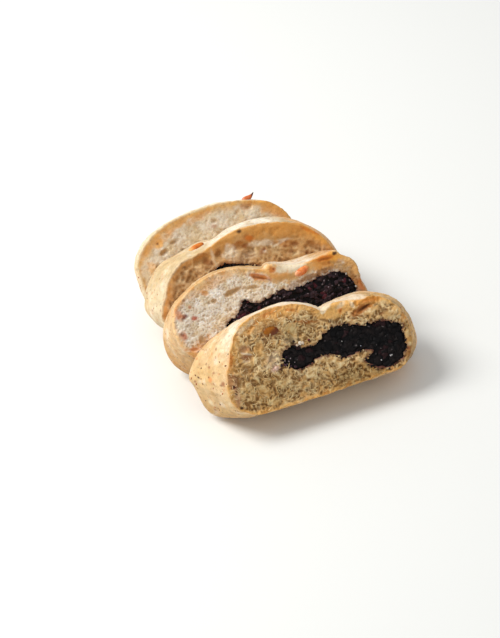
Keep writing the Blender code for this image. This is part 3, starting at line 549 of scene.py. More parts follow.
def foam(x, y, size, film, dense, reach, seed):
    """Depth at which a line into the face first meets a wall of open crumb."""
    depth = np.full(len(x), reach)
    met = np.zeros(len(x), bool)
    before = None
    for k in range(int(reach / FOAM_STEP) + 1):
        z = np.full(len(x), k * FOAM_STEP)
        solid = film - np.abs(noise(x, y, z, size, seed))
        solid = np.maximum(solid, 1.1 * film - np.abs(noise(x, y, z, 0.55 * size, seed + 1)))
        solid = np.maximum(solid, noise(x, y, z, 1.5 * size, seed + 2) - dense)
        new = ~met & (solid > 0.0)
        depth[new] = FOAM_STEP * (k - solid[new] / (solid[new] - before[new])) if k else 0.0
        met |= new
        before = solid
    return depth


def bowls(x, y, size, share, seed):
    """How deep scattered round pores reach, from 0 to 1, and how bright the crumb around them is."""
    near, _, ident = cells(x, y, size, seed)
    wide = size * (0.2 + 0.3 * ident / share)
    held = ident < share
    rims = smooth(1.5 * wide, 1.1 * wide, near) * smooth(0.8 * wide, wide, near) * held
    return smooth(wide, 0.3 * wide, near) * held, rims


def turned(x, h, px, ph, a, b, turn):
    """Distance of each point from the centre of a turned ellipse, which is 1 at its rim."""
    c, s = math.cos(math.radians(turn)), math.sin(math.radians(turn))
    return np.hypot(((x - px) * c + (h - ph) * s) / a, (-(x - px) * s + (h - ph) * c) / b)


def plane_starts():
    """Y and Z of the bottom edge of each front face."""
    rear_y = THICKNESS[0] * COS
    starts = [(0.0, THICKNESS[0] * SIN)]
    for thick in THICKNESS[1:3]:
        rear_y += (thick + GAP) / COS
        starts.append((rear_y - thick * COS, thick * SIN))
    starts.append((rear_y + GAP / COS + HEEL_BASE_RISE * SIN / COS, HEEL_BASE_RISE))
    return starts


STARTS = plane_starts()


def place(index, x, h, d):
    """Points in metres from along, up and into a slice, kept just above the floor."""
    y0, z0 = STARTS[index]
    x, h, d = np.broadcast_arrays(x, h, d)
    points = np.stack([x, y0 + h * SIN + d * COS, z0 + h * COS - d * SIN], axis=-1) + SHIFT
    points[..., 2] = np.maximum(points[..., 2], LOWEST)
    return points * MM


def facing(count):
    """The way out of the cut faces, once for each of the points on them."""
    return np.tile((0.0, -COS, SIN), (count, 1))


def span(start, end):
    """Points of the curve from one turn to the next."""
    points = [np.array(turn[:2]) for turn in (start, end)]
    length = np.linalg.norm(points[1] - points[0])
    pulls = []
    for _, _, heading, reach in (start, end):
        angle = math.radians(heading)
        pulls.append(np.array((math.cos(angle), math.sin(angle))) * length * reach)
    t = np.linspace(0.0, 1.0, SPAN_POINTS)[:, None]
    curve = (2.0 * t ** 3 - 3.0 * t ** 2 + 1.0) * points[0]
    curve = curve + (t ** 3 - 2.0 * t ** 2 + t) * pulls[0]
    curve = curve + (3.0 * t ** 2 - 2.0 * t ** 3) * points[1]
    return curve + (t ** 3 - t ** 2) * pulls[1]


def run_along(curve):
    """Distance along a curve at each of its points."""
    return np.concatenate([[0.0], np.cumsum(np.linalg.norm(np.diff(curve, axis=0), axis=1))])


def outline(turns, count, shares_of=None):
    """Ring through the turns. Its points are shared among its spans by their lengths, or another ring's."""
    def spans(listed):
        return [span(start, end) for start, end in zip(listed, listed[1:] + listed[:1])]

    ends = np.cumsum([run_along(curve)[-1] for curve in spans(shares_of or turns)])
    ends = np.round(ends / ends[-1] * count).astype(int)
    ring = []
    first = 0
    for curve, last in zip(spans(turns), ends):
        along = run_along(curve)
        wanted = np.linspace(0.0, along[-1], last - first + 1)[:-1]
        ring.append(np.stack([np.interp(wanted, along, curve[:, k]) for k in (0, 1)], axis=1))
        first = last
    return np.concatenate(ring)


def slice_turns(index, side):
    """Turns of a slice's outline at its front face, side 0, or its rear face, side 1."""
    return [turns[side] for turns in SLICES[index].values()]


def normals_out(ring):
    """Unit normals that point out of a ring that runs clockwise."""
    ahead = np.roll(ring, -2, axis=0) - np.roll(ring, 2, axis=0)
    ahead /= np.linalg.norm(ahead, axis=1)[:, None] + 1e-9
    return np.stack([-ahead[:, 1], ahead[:, 0]], axis=1)


def inside(ring, x, y):
    """Whether each point lies inside the ring."""
    result = np.zeros(np.shape(x), bool)
    for (ax, ay), (bx, by) in zip(ring, np.roll(ring, -1, axis=0)):
        if ay != by:
            result ^= ((ay > y) != (by > y)) & (x < (bx - ax) * (y - ay) / (by - ay) + ax)
    return result


def nearest_on(ring, x, y):
    """Distance from each point to the ring, and the number of the nearest ring point."""
    away = np.empty(len(x))
    which = np.empty(len(x), int)
    for first in range(0, len(x), CHUNK):
        part = slice(first, first + CHUNK)
        squared = (x[part, None] - ring[None, :, 0]) ** 2 + (y[part, None] - ring[None, :, 1]) ** 2
        which[part] = squared.argmin(axis=1)
        away[part] = np.sqrt(squared.min(axis=1))
    return away, which


def within(outer, holes, x, y):
    """Whether each point lies inside a ring and outside the holes."""
    keep = inside(outer, x, y)
    for hole in holes:
        keep &= ~inside(hole, x, y)
    return keep


def grid_inside(outer, holes, step, clear=GRID_CLEAR):
    """Points of a jittered triangular grid inside a ring and outside the holes, clear of both."""
    low, high = outer.min(axis=0), outer.max(axis=0)
    rows = int((high[1] - low[1]) / (step * ROW_HEIGHT)) + 2
    columns = int((high[0] - low[0]) / step) + 2
    j, i = np.meshgrid(np.arange(rows), np.arange(columns), indexing="ij")
    x = low[0] + (i + 0.5 * (j % 2)) * step
    y = low[1] + j * step * ROW_HEIGHT
    x = (x + (hashed(i, j, i * 0, 5) - 0.5) * step * GRID_JITTER).ravel()
    y = (y + (hashed(i, j, i * 0 + 1, 5) - 0.5) * step * GRID_JITTER).ravel()
    keep = within(outer, holes, x, y)
    x, y = x[keep], y[keep]
    keep = np.min([nearest_on(ring, x, y)[0] for ring in (outer, *holes)], axis=0) > clear * step
    return np.stack([x[keep], y[keep]], axis=1)


def flat_triangles(outer, holes, extra):
    """Triangles of a flat region. They index the outer ring, the holes and the extra points in this order."""
    loops = [outer] + list(holes)
    points = np.concatenate(loops + [extra])
    edges, start = [], 0
    for loop in loops:
        edges += [(start + i, start + (i + 1) % len(loop)) for i in range(len(loop))]
        start += len(loop)
    found = delaunay_2d_cdt([Vector(p) for p in points], edges, [], 0, 1e-7)
    first = np.array([ids[0] if ids else -1 for ids in found[3]])
    triangles = first[np.array(found[2])]
    triangles = triangles[(triangles >= 0).all(axis=1)]
    on_rings = (triangles < start).all(axis=1)
    middle = points[triangles[on_rings]].mean(axis=1)
    keep = ~on_rings
    keep[on_rings] = within(outer, holes, middle[:, 0], middle[:, 1])
    triangles = triangles[keep]
    a, b, c = (points[triangles[:, k]] for k in range(3))
    turn = (b[:, 0] - a[:, 0]) * (c[:, 1] - a[:, 1]) - (b[:, 1] - a[:, 1]) * (c[:, 0] - a[:, 0])
    triangles[turn < 0] = triangles[turn < 0][:, ::-1]
    return triangles[np.abs(turn) > 1e-9]


def eased(values, triangles, amount):
    """Values at the points of a triangle mesh, moved towards the mean of their neighbours."""
    flat = values.reshape(len(values), -1)
    ends = np.concatenate([triangles[:, (0, 1)], triangles[:, (1, 2)], triangles[:, (2, 0)]])
    count = np.bincount(ends[:, 0], minlength=len(values)) + 1e-9
    mean = [np.bincount(ends[:, 0], column[ends[:, 1]], minlength=len(values)) / count for column in flat.T]
    mean = np.stack(mean, axis=1)
    mean[count < 1.0] = flat[count < 1.0]
    return (flat + (mean - flat) * amount).reshape(values.shape)


def wall(rows, count, first, flip):
    """Quads between rows of a ring whose points are numbered row after row from the first."""
    low = first + np.arange(rows - 1)[:, None] * count + np.arange(count)[None, :]
    ahead = np.roll(low, -1, axis=1)
    quads = np.stack([low, ahead, ahead + count, low + count], axis=-1).reshape(-1, 4)
    return quads[:, ::-1] if flip else quads


class Parts:
    """Points, colours, gloss and faces of a piece that is put together part by part."""

    def __init__(self):
        self.points, self.colours, self.wet, self.faces, self.looks = [], [], [], [], []
        self.count = 0

    def add(self, points, colours, wet=0.0):
        """Adds points and gives their numbers."""
        self.points.append(points)
        self.colours.append(np.broadcast_to(colours, points.shape))
        self.wet.append(np.broadcast_to(wet, len(points)))
        self.count += len(points)
        return np.arange(self.count - len(points), self.count)

    def join(self, faces, look=0):
        """Adds faces between numbered points, with the number of their material."""
        self.faces += np.asarray(faces).tolist()
        self.looks += [look] * len(faces)

    def piece(self, name, slot, materials, *replaced):
        """The parts as one smooth-shaded piece."""
        mesh = bpy.data.meshes.new(name)
        points = np.concatenate(self.points)
        mesh.from_pydata(points.tolist(), [], self.faces)
        mesh.polygons.foreach_set("use_smooth", [True] * len(self.faces))
        mesh.polygons.foreach_set("material_index", self.looks)
        tint = mesh.attributes.new("tint", "FLOAT_COLOR", "POINT")
        colours = np.clip(np.concatenate(self.colours), 0.0, 1.0)
        tint.data.foreach_set("color", np.column_stack([colours, np.ones(len(points))]).ravel())
        gloss = mesh.attributes.new("gloss", "FLOAT", "POINT")
        gloss.data.foreach_set("value", np.concatenate(self.wet))
        mesh.update()
        for material in materials:
            mesh.materials.append(material)
        piece = bpy.data.objects.new(name, mesh)
        bpy.context.scene.collection.objects.link(piece)
        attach(piece, "root")
        if replaced:
            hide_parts(*replaced)


def mix(first, second, amount):
    """Blend of two colours, or of two lists of colours."""
    amount = np.asarray(amount)[..., None]
    return first * (1.0 - amount) + second * amount


def paint(colour, *coats):
    """Colour with coats laid over it, each a tone and how much of it each point has."""
    for tone, amount in coats:
        colour = mix(colour, tone, amount)
    return colour


def edge_radius(index, ring):
    """Rounding of the cut edge at each point of the outline."""
    x, h = ring.T
    base, wider = EDGE_ROUND[index]
    radius = np.full(len(ring), base)
    for px, ph, reach, most in wider:
        radius = np.maximum(radius, base + (most - base) * smooth(reach, 0.0, np.hypot(x - px, h - ph)))
    radius = radius * (1.0 + 0.2 * noise(x, h, x * 0, 4.0, 300 + index))
    return radius + 0.35 * np.maximum(noise(x, h, x * 0, 1.9, 310 + index), 0.0)


def ragged(index, ring):
    """How far the cut edge strays from its outline."""
    x, h = ring.T
    return 0.3 * noise(x, h, x * 0, 2.2, 320 + index) + 0.16 * noise(x, h, x * 0, 1.0, 330 + index)


def worn(index, x, h, d):
    """How far the crust is rubbed down to the crumb at a slice's right end, and its small pits."""
    if index >= len(WORN):
        return x * 0.0, x * 0.0
    start, full, gone, kept, _ = WORN[index]
    near, ident = specks(x, h, 0.5 * d, 1.8, 470)
    rubbed = smooth(start, full, x + 2.0 * noise(x, h, 0.5 * d, 4.0, 473)) * smooth(gone, kept, d)
    return rubbed * smooth(-2.0, 6.0, h), smooth(0.4 + 0.8 * ident, 0.2, near)


def crust_relief(index, x, h, d):
    """Fine bumps and creases of the crust, outward."""
    bumps = 0.42 * clouds(x, h, d, 9.0, 400 + index, 2) + 0.2 * clouds(x, h, d, 2.8, 420 + index, 2)
    crease = np.abs(noise(x, h, d * 0.6, 7.0, 440 + index))
    fine = np.abs(noise(x, h, d * 0.8, 3.2, 450 + index))
    rubbed, pits = worn(index, x, h, d)
    lines = 0.3 * np.clip(1.0 - crease / 0.1, 0.0, 1.0) + 0.13 * np.clip(1.0 - fine / 0.12, 0.0, 1.0)
    return bumps - lines * (1.0 - rubbed) + rubbed * (0.4 * noise(x, h, 0.5 * d, 1.6, 474) - 0.6 * pits)


def crust_lumps(index, x, h, d):
    """Broad lumps of the crust, outward."""
    return CRUST_LUMP * noise(x, h, d + 31.0 * index, 11.0, 460)


def heel_scale(t):
    """Scale of the heel's outline about its centre, from the cut face to the rounded end."""
    shares, scales = np.array(HEEL_PROFILE + ((HEEL_END, 0.0),)).T
    fine = np.linspace(0.0, HEEL_END, 205)
    steep = np.interp(fine, shares, scales)
    padded = np.concatenate([np.full(4, steep[0]), steep, np.linspace(steep[-1], -0.2, 4)])
    return np.interp(t, fine, np.convolve(padded, np.ones(9) / 9.0, "valid"))


def heel_rings(front, out, radius):
    """Rings of the heel's crust from its rounded cut edge to its end, each with its depth."""
    index, depth = len(SLICES) - 1, THICKNESS[-1]
    rows = int(depth / WALL_STEP)
    end = 0.8 + 0.22 * np.sin(np.linspace(0.0, 1.45, rows // 2 + 1)[1:])
    rings = []
    for t in np.concatenate([np.linspace(0.0, 0.8, rows), end]):
        d = radius * (1.0 - t) + depth * t
        ring = HEEL_CENTRE + (front - HEEL_CENTRE) * heel_scale(d / depth)[:, None]
        x, h = ring.T
        move = (crust_lumps(index, x, h, d) + crust_relief(index, x, h, d)) * smooth(0.0, 0.12, t)
        move = move * np.clip(heel_scale(t) * 1.5, 0.0, 1.0) + ragged(index, front) * smooth(0.05, 0.0, t)
        rings.append((ring + out * move[:, None], d))
    return rings


def crust_rings(index, front, out, radius):
    """Rings of a slice's crust from its rounded cut edge to its rear face, each with its depth."""
    depth = THICKNESS[index]
    rear = outline(slice_turns(index, 1), RING_COUNT, slice_turns(index, 0))
    rows = int(depth / WALL_STEP)
    rings = []
    for k in range(rows + 1):
        d = radius + (depth - radius) * k / rows
        t = d / depth
        ring = mix(front, rear, t)
        x, h = ring.T
        fade = 0.25 + 0.75 * smooth(0.0, 0.12, t) * smooth(1.0, 0.9, t)
        move = CRUST_BULGE * np.sin(math.pi * t)
        move = move + (crust_lumps(index, x, h, d) + crust_relief(index, x, h, d)) * fade
        ring = ring + out * move[:, None]
        rings.append((ring + out * (ragged(index, front) * smooth(0.07, 0.01, t))[:, None], d))
    return rings


def pit_depth(index, x, h):
    """Depth of the larger hollows of a cut face, and how much each point lies on the rim of one."""
    depth, rim = np.zeros(len(x)), np.zeros(len(x))
    for px, ph, a, b, turn, deep in PITS[index]:
        wobble = 0.3 * noise(x, h, x * 0 + px, 2.4, 500) + 0.14 * noise(x, h, x * 0 + px, 1.0, 501)
        r = turned(x, h, px, ph, a, b, turn) * (1.0 + wobble)
        depth = np.maximum(depth, np.where(r < 1.0, deep * (1.0 - r ** 2.5), 0.0))
        rim = np.maximum(rim, smooth(0.34, 0.05, np.abs(r - 1.15)))
    return depth, rim * PIT_RIMS[index] * smooth(-0.5, 0.4, noise(x, h, x * 0.0, 2.6, 502))


def mark_weight(x, h, mark):
    """How much of a mark each point has."""
    _, px, ph, a, b, turn, strength = mark
    wobble = 0.34 * noise(x, h, x * 0 + px, 2.2, 510) + 0.22 * noise(x, h, x * 0 + px, 0.9, 511)
    return smooth(1.35, 0.6, turned(x, h, px, ph, a, b, turn) * (1.0 + wobble)) * strength


def marked(index, colour, x, h, kinds=TONES):
    """Colour with a cut face's marks of the given kinds over it."""
    for mark in MARKS[index]:
        kind = mark[0]
        if kind in kinds:
            tone, part = TONES[kind]
            tone = BAND[index][-1] if kind == "skin" else tone
            colour = mix(colour, colour * tone if kind in FACTORS else tone, mark_weight(x, h, mark) * part)
    return colour


def skin_weight(index, x, h):
    """How much smooth dough each point of a cut face has."""
    return np.max([x * 0.0] + [mark_weight(x, h, mark) for mark in MARKS[index] if mark[0] == "skin"], axis=0)


def crumb(index, x, h, from_edge, from_filling, front=True):
    """Depth below the cut plane and colour of the crumb at each point of a front or a rear face."""
    s = 600 + 40 * index + (0 if front else 20)
    zero = x * 0.0

    def field(size, seed):
        return noise(x, h, zero, size, s + seed)

    def cloud(size, seed, layers):
        return clouds(x, h, zero, size, s + seed, layers)

    size, film, dense, reach, threading, pinholes, hollowed, (wide, share, bowl_depth) = CRUMB_FORM[index]
    wx = x + 1.2 * field(4.2, 0) + 0.45 * field(1.5, 1)
    wh = h + 1.2 * field(4.2, 2) + 0.45 * field(1.5, 3)
    skin = skin_weight(index, x, h) if front else zero
    loose = 0.5 + 0.5 * cloud(13.0, 17, 2)
    width, strength, _ = BAND[index]
    width = width * (1.0 + 0.5 * field(7.0, 13) + 0.25 * field(2.2, 19))
    for tx, th, reach_of, factor in BAND_THIN[index]:
        width = width * (1.0 - (1.0 - factor) * smooth(reach_of, 0.5 * reach_of, np.hypot(x - tx, h - th)))
    golden = smooth(1.7 * width, 0.1 * width, from_edge) * strength
    open_part = smooth(-0.2, 1.0, from_edge + 0.7 * field(2.6, 4)) * (1.0 - 0.85 * skin)
    open_part = open_part * (1.0 - (0.35 if index == 0 else 0.85) * golden)
    hollow = foam(wx, wh * 1.2, size, film, dense, reach, s + 5) * open_part
    near, _, ident = cells(wx, wh * 1.15, 1.7, s + 30)
    small = 1.7 * (0.2 + 0.28 * ident / pinholes)
    pinhole = smooth(small, 0.35 * small, near) * (ident < pinholes) * open_part
    threads = np.maximum(strands(wx, wh, 2.7, s + 8, 0.13), 0.8 * strands(wx, wh, 1.7, s + 9, 0.17))
    threads = threads * open_part * threading
    pores, rims = bowls(wx, wh * 1.2, wide, share, s + 32)
    fine_pores, fine_rims = bowls(wx, wh * 1.1, 0.55 * wide, share, s + 34)
    pores = np.maximum(pores, 0.75 * fine_pores * (1.0 - rims)) * open_part
    rims = np.maximum(rims, 0.7 * fine_rims) * (1.0 - pores) * open_part
    depth = np.maximum(hollow * hollowed * (0.6 + 0.8 * loose), 0.5 * pinhole * hollowed) * (1.0 - 0.6 * rims)
    depth = np.maximum(depth, bowl_depth * pores * (0.7 + 0.6 * loose))
    depth = depth * (1.0 - 0.75 * threads) - 0.2 * threads
    depth = depth + 0.35 * cloud(6.0, 10, 2) * (0.3 + 0.7 * open_part) + 0.05 * field(0.9, 11)
    pits, pit_rim = pit_depth(index, x, h) if front else (zero, zero)
    pitted = np.clip(pits, 0.0, 1.0)
    depth = depth * (1.0 - 0.8 * pitted) + pits - 0.3 * pit_rim + 0.5 * smooth(1.4, 0.2, from_filling)

    base, hollow_shade_colour, light, ring = CRUMB[index]
    cloudy = (0.34 if index == 0 else 0.22) * cloud(9.0, 12, 3)
    colour = base * ((1.0 + cloudy) * (1.0 + 0.12 * field(1.3, 18)))[:, None]
    # Hollows, pinholes and pores darken towards the hollow colour with depth: painted shade in recesses.
    dark = (0.85 * smooth(0.1, 1.0, hollow / reach) + 0.4 * pinhole) * hollowed * (1.0 - 0.6 * rims)
    dark = np.maximum(dark, (0.35 if index == 0 else 0.6) * pores)
    edges = smooth(0.16, 0.02, hollow / reach) * open_part * smooth(-0.2, 0.3, field(2.0, 22))
    colour = paint(
        colour, (hollow_shade_colour, np.clip(dark * (1.0 - 0.7 * pitted), 0.0, 0.92)),
        (light, np.clip(threads + 0.5 * edges + 0.35 * rims, 0.0, 1.0) * 0.9),
    )
    if index in (1, 3):
        patch = cloud(6.0, 25, 3)
        yellowed, whiter = smooth(0.05, 0.6, patch) * 0.5, smooth(0.0, -0.5, patch) * 0.4
        colour = paint(colour, (YELLOWED, yellowed), (WHITER, whiter))
    mottle = 0.16 * field(1.4, 14) + 0.12 * field(3.0, 24)
    toasted = smooth(0.0, 0.45, cloud(4.0, 20, 3)) * smooth(5.5, 0.4, from_edge)
    colour = paint(
        colour, (ring * (1.0 + mottle)[:, None], golden * (1.0 - 0.5 * pinhole) * (0.86 + 0.3 * mottle)),
        (TOASTED * (1.0 + 0.2 * field(1.1, 21))[:, None], toasted * 0.6 * (1.0 - skin)),
    )
    line, fading, ended = PALE_LINES[index]
    if line and front:
        outermost = smooth(line, 0.4 * line, from_edge) * smooth(ended, fading, x)
        colour = mix(colour, CRUST[index][0], outermost * 0.85)
    bran_near, _, bran = cells(wx, wh, 2.1, s + 15)
    rosy_near, _, rosy = cells(x, h, 3.6, s + 26)
    stained = np.maximum(1.3 + 1.3 * field(2.6, 16), 0.2)
    colour = paint(
        colour, (BRAN, (bran < 0.2 + 0.25 * golden) * smooth(0.3 + 0.6 * bran, 0.1, bran_near) * 0.75),
        (ROSY, (rosy < 0.3) * smooth(0.4 + 1.2 * rosy, 0.2, rosy_near) * 0.5),
        (STAIN, smooth(stained, 0.0, from_filling) * 0.65),
    )
    if front:
        colour = marked(index, colour, x, h)
    return depth, mix(colour, light, pit_rim * (1.0 - np.clip(2.0 * pits, 0.0, 1.0)) * 0.8)


def crust_colour(index, x, h, d, z):
    """Colour of the crust at each point."""
    pale, gold, low = CRUST[index]
    patch = clouds(x, h, d, 14.0, 800 + index, 3)
    soft = clouds(x, h, d, 5.0, 822 + index, 3)
    first, last, flour, full = TOP_FLOUR_AND_HIGHLIGHT[index]
    dusted_and_lit = smooth(first - 5.0, first + 5.0, x) * smooth(last + 5.0, last - 5.0, x) * flour
    start, golden, side = GOLDEN_SIDE[index]
    sided = smooth(start, golden, x + 5.0 * patch) * 0.9
    # Towards the bottom the crust turns golden, baked colour with painted warm bounce light; towards the top
    # it turns whiter, flour dust with a painted highlight.
    colour = paint(
        np.tile(pale, (len(x), 1)), (gold, smooth(-0.35, 0.55, patch + 0.3 * smooth(30.0, 4.0, z))),
        (low, smooth(27.0, 1.0, z + 5.0 * patch) * 0.85),
        (FLOUR_AND_HIGHLIGHT_WHITE, smooth(36.0, 54.0, z + 4.0 * patch) * smooth(0.1 * full, full, d) * dusted_and_lit), (side, sided),
        (gold * 0.9, smooth(0.05, 0.45, soft) * 0.6),
        (FLOUR_AND_HIGHLIGHT_WHITE, smooth(-0.1, -0.5, soft) * 0.4 * (1.0 - sided)),
    )
    colour = colour * (1.0 + 0.2 * clouds(x, h, d, 2.6, 820 + index, 2))[:, None]
    streak = smooth(0.15, 0.0, np.abs(noise(x, h, d * 0.8, 3.2, 450 + index)))
    baked = smooth(1.2, 0.0, d + 1.6 * noise(x, h, d, 4.0, 825 + index))
    colour = paint(colour, (gold * 0.82, streak * 0.45), (TOASTED, baked * (0.3 if index < 3 else 0.0)))
    bare = 1.0 - 0.7 * smooth(40.0, 54.0, z)
    u, v, w = (a + 0.5 * noise(x, h, d, 1.6, 826 + k) for k, a in enumerate((x, h, d)))
    for size, most, tone, strength in CRUST_SPECKS:
        near, ident = specks(u, v, w, size, 830 + index)
        wide = most * (0.3 + 0.7 * ident)
        colour = mix(colour, tone, smooth(wide, 0.3 * wide, near) * strength * bare)
    for px, ph, pd, wide, tone in CRUST_SPOTS if index == 0 else ():
        near = np.sqrt((u - px) ** 2 + (v - ph) ** 2 + (w - pd) ** 2)
        colour = mix(colour, tone, smooth(wide * 1.2, wide * 0.4, near) * 0.85)
    if index < len(WORN):
        rubbed, pits = worn(index, x, h, d)
        # The rubbed crumb is mottled and darker towards the bottom, painted shade near the floor; its small
        # pits take the painted shade of the crumb's hollows.
        mottle_and_low_shade = (1.0 + 0.5 * clouds(x, h, 0.5 * d, 2.2, 840, 3)) * (0.6 + 0.4 * smooth(4.0, 16.0, h))
        colour = mix(colour, mix(WORN[index][-1] * mottle_and_low_shade[:, None], CRUMB[0][1], pits * 0.6), rubbed)
    return colour


def filling_ring(index, share, grow=0.0):
    """Uneven outline of the filling at a share of the thickness."""
    front = outline(list(FILLINGS[index].values()), HOLE_COUNT)
    x, h = front.T
    wide, high, right, up = FILLING_DRIFT[index]
    middle = (front.min(axis=0) + front.max(axis=0)) / 2.0
    rear = middle + (front - middle) * (wide, high) + (right, up)
    ring = front * (1.0 - share) + rear * share
    rough = 0.85 * noise(x, h, x * 0 + share * 9.0, 2.4, 900 + index)
    rough = rough + 0.5 * noise(x, h, x * 0 + share * 20.0, 1.1, 910 + index)
    return ring + normals_out(ring) * (rough + grow)[:, None]


def build_slice(index):
    """Crumb, crust and channel of one slice as one closed mesh. Gives the rings of its crust."""
    depth = THICKNESS[index]
    heel = index == len(SLICES) - 1
    front = outline(slice_turns(index, 0), RING_COUNT)
    out = normals_out(front)
    radius = edge_radius(index, front)
    rings = heel_rings(front, out, radius) if heel else crust_rings(index, front, out, radius)
    first_ring, last_ring = rings[0][0], rings[-1][0]
    channel = [] if heel else [filling_ring(index, k / (CHANNEL_STEPS - 1)) for k in range(CHANNEL_STEPS)]

    extra = grid_inside(first_ring, channel[:1], FACE_GRID)
    flat = np.concatenate([first_ring] + channel[:1] + [extra])
    triangles = flat_triangles(first_ring, channel[:1], extra)
    from_edge, which = nearest_on(first_ring, *flat.T)
    from_edge[:RING_COUNT] = 0.0
    from_filling = np.full(len(flat), FAR) if heel else nearest_on(channel[0], *flat.T)[0]
    relief, tone = crumb(index, *flat.T, from_edge, from_filling)
    for _ in range(EASINGS[index][0]):
        relief = eased(relief, triangles, RELIEF_EASE)
    for _ in range(EASINGS[index][1]):
        tone = eased(tone, triangles, TONE_EASE)
    inward = np.clip(1.0 - from_edge / radius[which], 0.0, 1.0)
    level = relief * smooth(0.0, 0.5, from_edge) + radius[which] * (1.0 - np.sqrt(1.0 - inward ** 2))

    parts = Parts()
    soft = np.clip(0.25 + radius / 2.6, 0.0, 1.0) * (0.4 if heel else 1.0)
    for ring, d in rings:
        x, h = ring.T
        spots = place(index, x, h, d)
        reach = 1.2 + 1.6 * soft * (1.0 + 0.6 * noise(x, h, d, 3.0, 340 + index))
        colour = crust_colour(index, x, h, d, spots[:, 2] / MM)
        last = parts.add(spots, mix(colour, tone[:RING_COUNT], smooth(reach, 0.0, d - radius) * soft))
    parts.join(wall(len(rings), RING_COUNT, 0, False), 1)
    inner = parts.add(place(index, *flat[RING_COUNT:].T, level[RING_COUNT:]), tone[RING_COUNT:])
    parts.join(np.concatenate([np.arange(RING_COUNT), inner])[triangles])
    if heel:
        middle = last_ring.mean(axis=0)[:, None]
        colour = crust_colour(index, *middle, np.array([depth]), np.array([20.0]))
        end = parts.add(place(index, *middle, np.array([rings[-1][1].max() + LOWEST])), colour)
        parts.join(np.stack([last, np.roll(last, -1), np.full(RING_COUNT, end[0])], axis=1), 1)
    else:
        low = inner[:HOLE_COUNT]
        for k, ring in enumerate(channel[1:], 1):
            d = CHANNEL_LIP if k == 1 else k / (CHANNEL_STEPS - 1) * depth
            high = parts.add(place(index, *ring.T, d), STAIN)
            parts.join(np.stack([low, high, np.roll(high, -1), np.roll(low, -1)], axis=1))
            low = high
        extra = grid_inside(last_ring, channel[-1:], REAR_GRID)
        triangles = flat_triangles(last_ring, channel[-1:], extra)[:, ::-1]
        from_edge, from_filling = (nearest_on(ring, *extra.T)[0] for ring in (last_ring, channel[-1]))
        relief, tone = crumb(index, *extra.T, from_edge, from_filling, front=False)
        relief = np.clip(0.7 * relief, 0.0, 2.0) * smooth(0.0, 1.2, from_edge)
        inner = parts.add(place(index, *extra.T, depth - relief), tone)
        parts.join(np.concatenate([last, low, inner])[triangles])
    parts.piece(
        "crumb_slice_%d" % (index + 1), "bread", (BREAD_CRUMB, BREAD_CRUST), "bread_slice_%d" % (index + 1),
    )
    return rings


def grains(index, x, h, from_edge, seed):
    """Depth below the cut plane, colour and wetness of the berry filling at each point."""
    s = 1000 + 30 * index + seed
    zero = x * 0.0
    loose = index == 0
    rough = 1.0 if loose else 0.6
    wx = x + rough * noise(x, h, zero, 3.0, s) + 0.5 * rough * noise(x, h, zero, 1.3, s + 6)
    wh = h + rough * noise(x, h, zero, 3.0, s + 1) + 0.5 * rough * noise(x, h, zero, 1.3, s + 7)
    near, other, ident = cells(wx, wh * 1.2, 2.8 if loose else 2.3, s + 2)
    dome = np.sqrt(np.clip(1.0 - (near / (1.3 + 0.8 * ident)) ** 2, 0.0, 1.0))
    small, _, tiny = cells(wx, wh, 1.2, s + 3)
    bead = np.sqrt(np.clip(1.0 - (small / 0.6) ** 2, 0.0, 1.0))
    high = 1.2 * dome * (0.2 + 0.8 * ident) + 0.24 * bead * (tiny < 0.5)
    depth = 1.9 + 0.8 * clouds(x, h, zero, 5.0, s + 4, 3) - high + 0.5 * smooth(1.2, 0.0, from_edge)
    dark, plum, maroon, glint_grey = FILLING_TONES[index]
    shade = 0.5 + 0.5 * clouds(wx, wh, zero, 2.6, s + 8, 2) if loose else ident
    reddish = hashed(np.floor(ident * 997), np.floor(ident * 311), zero, s) > (0.93 if loose else 0.96)
    # Thin grey strokes here and there: painted glints on the seeds.
    glint_strokes = strands(wx, wh, 1.9, s + 9, 0.14) * smooth(0.1, 0.5, noise(x, h, zero, 1.7, s + 10))
    # Plum is strongest at the middle of each grain, painted light on the grain tops; the grey dots on beads
    # are painted glints, and the darker edges between grains are painted shade.
    colour = paint(
        np.tile(dark, (len(x), 1)), (plum, smooth(0.3, 0.9, shade) * (0.4 + 0.6 * dome)),
        (maroon, reddish * 0.6), (glint_grey, glint_strokes * (0.12, 0.5, 0.25)[index]),
        (glint_grey, smooth(0.5, 0.95, bead) * (tiny < (0.012 if loose else 0.07)) * 0.8),
        (dark * 0.4, smooth(0.35, 0.0, other - near) * (0.35 if loose else 0.8)),
    )
    gloss = hashed(np.floor(tiny * 1531), np.floor(tiny * 733), zero, s + 5)
    return np.maximum(depth, 0.1), colour, np.clip((gloss - 0.82) * 3.6, 0.0, 1.0) * smooth(0.2, 0.7, bead)


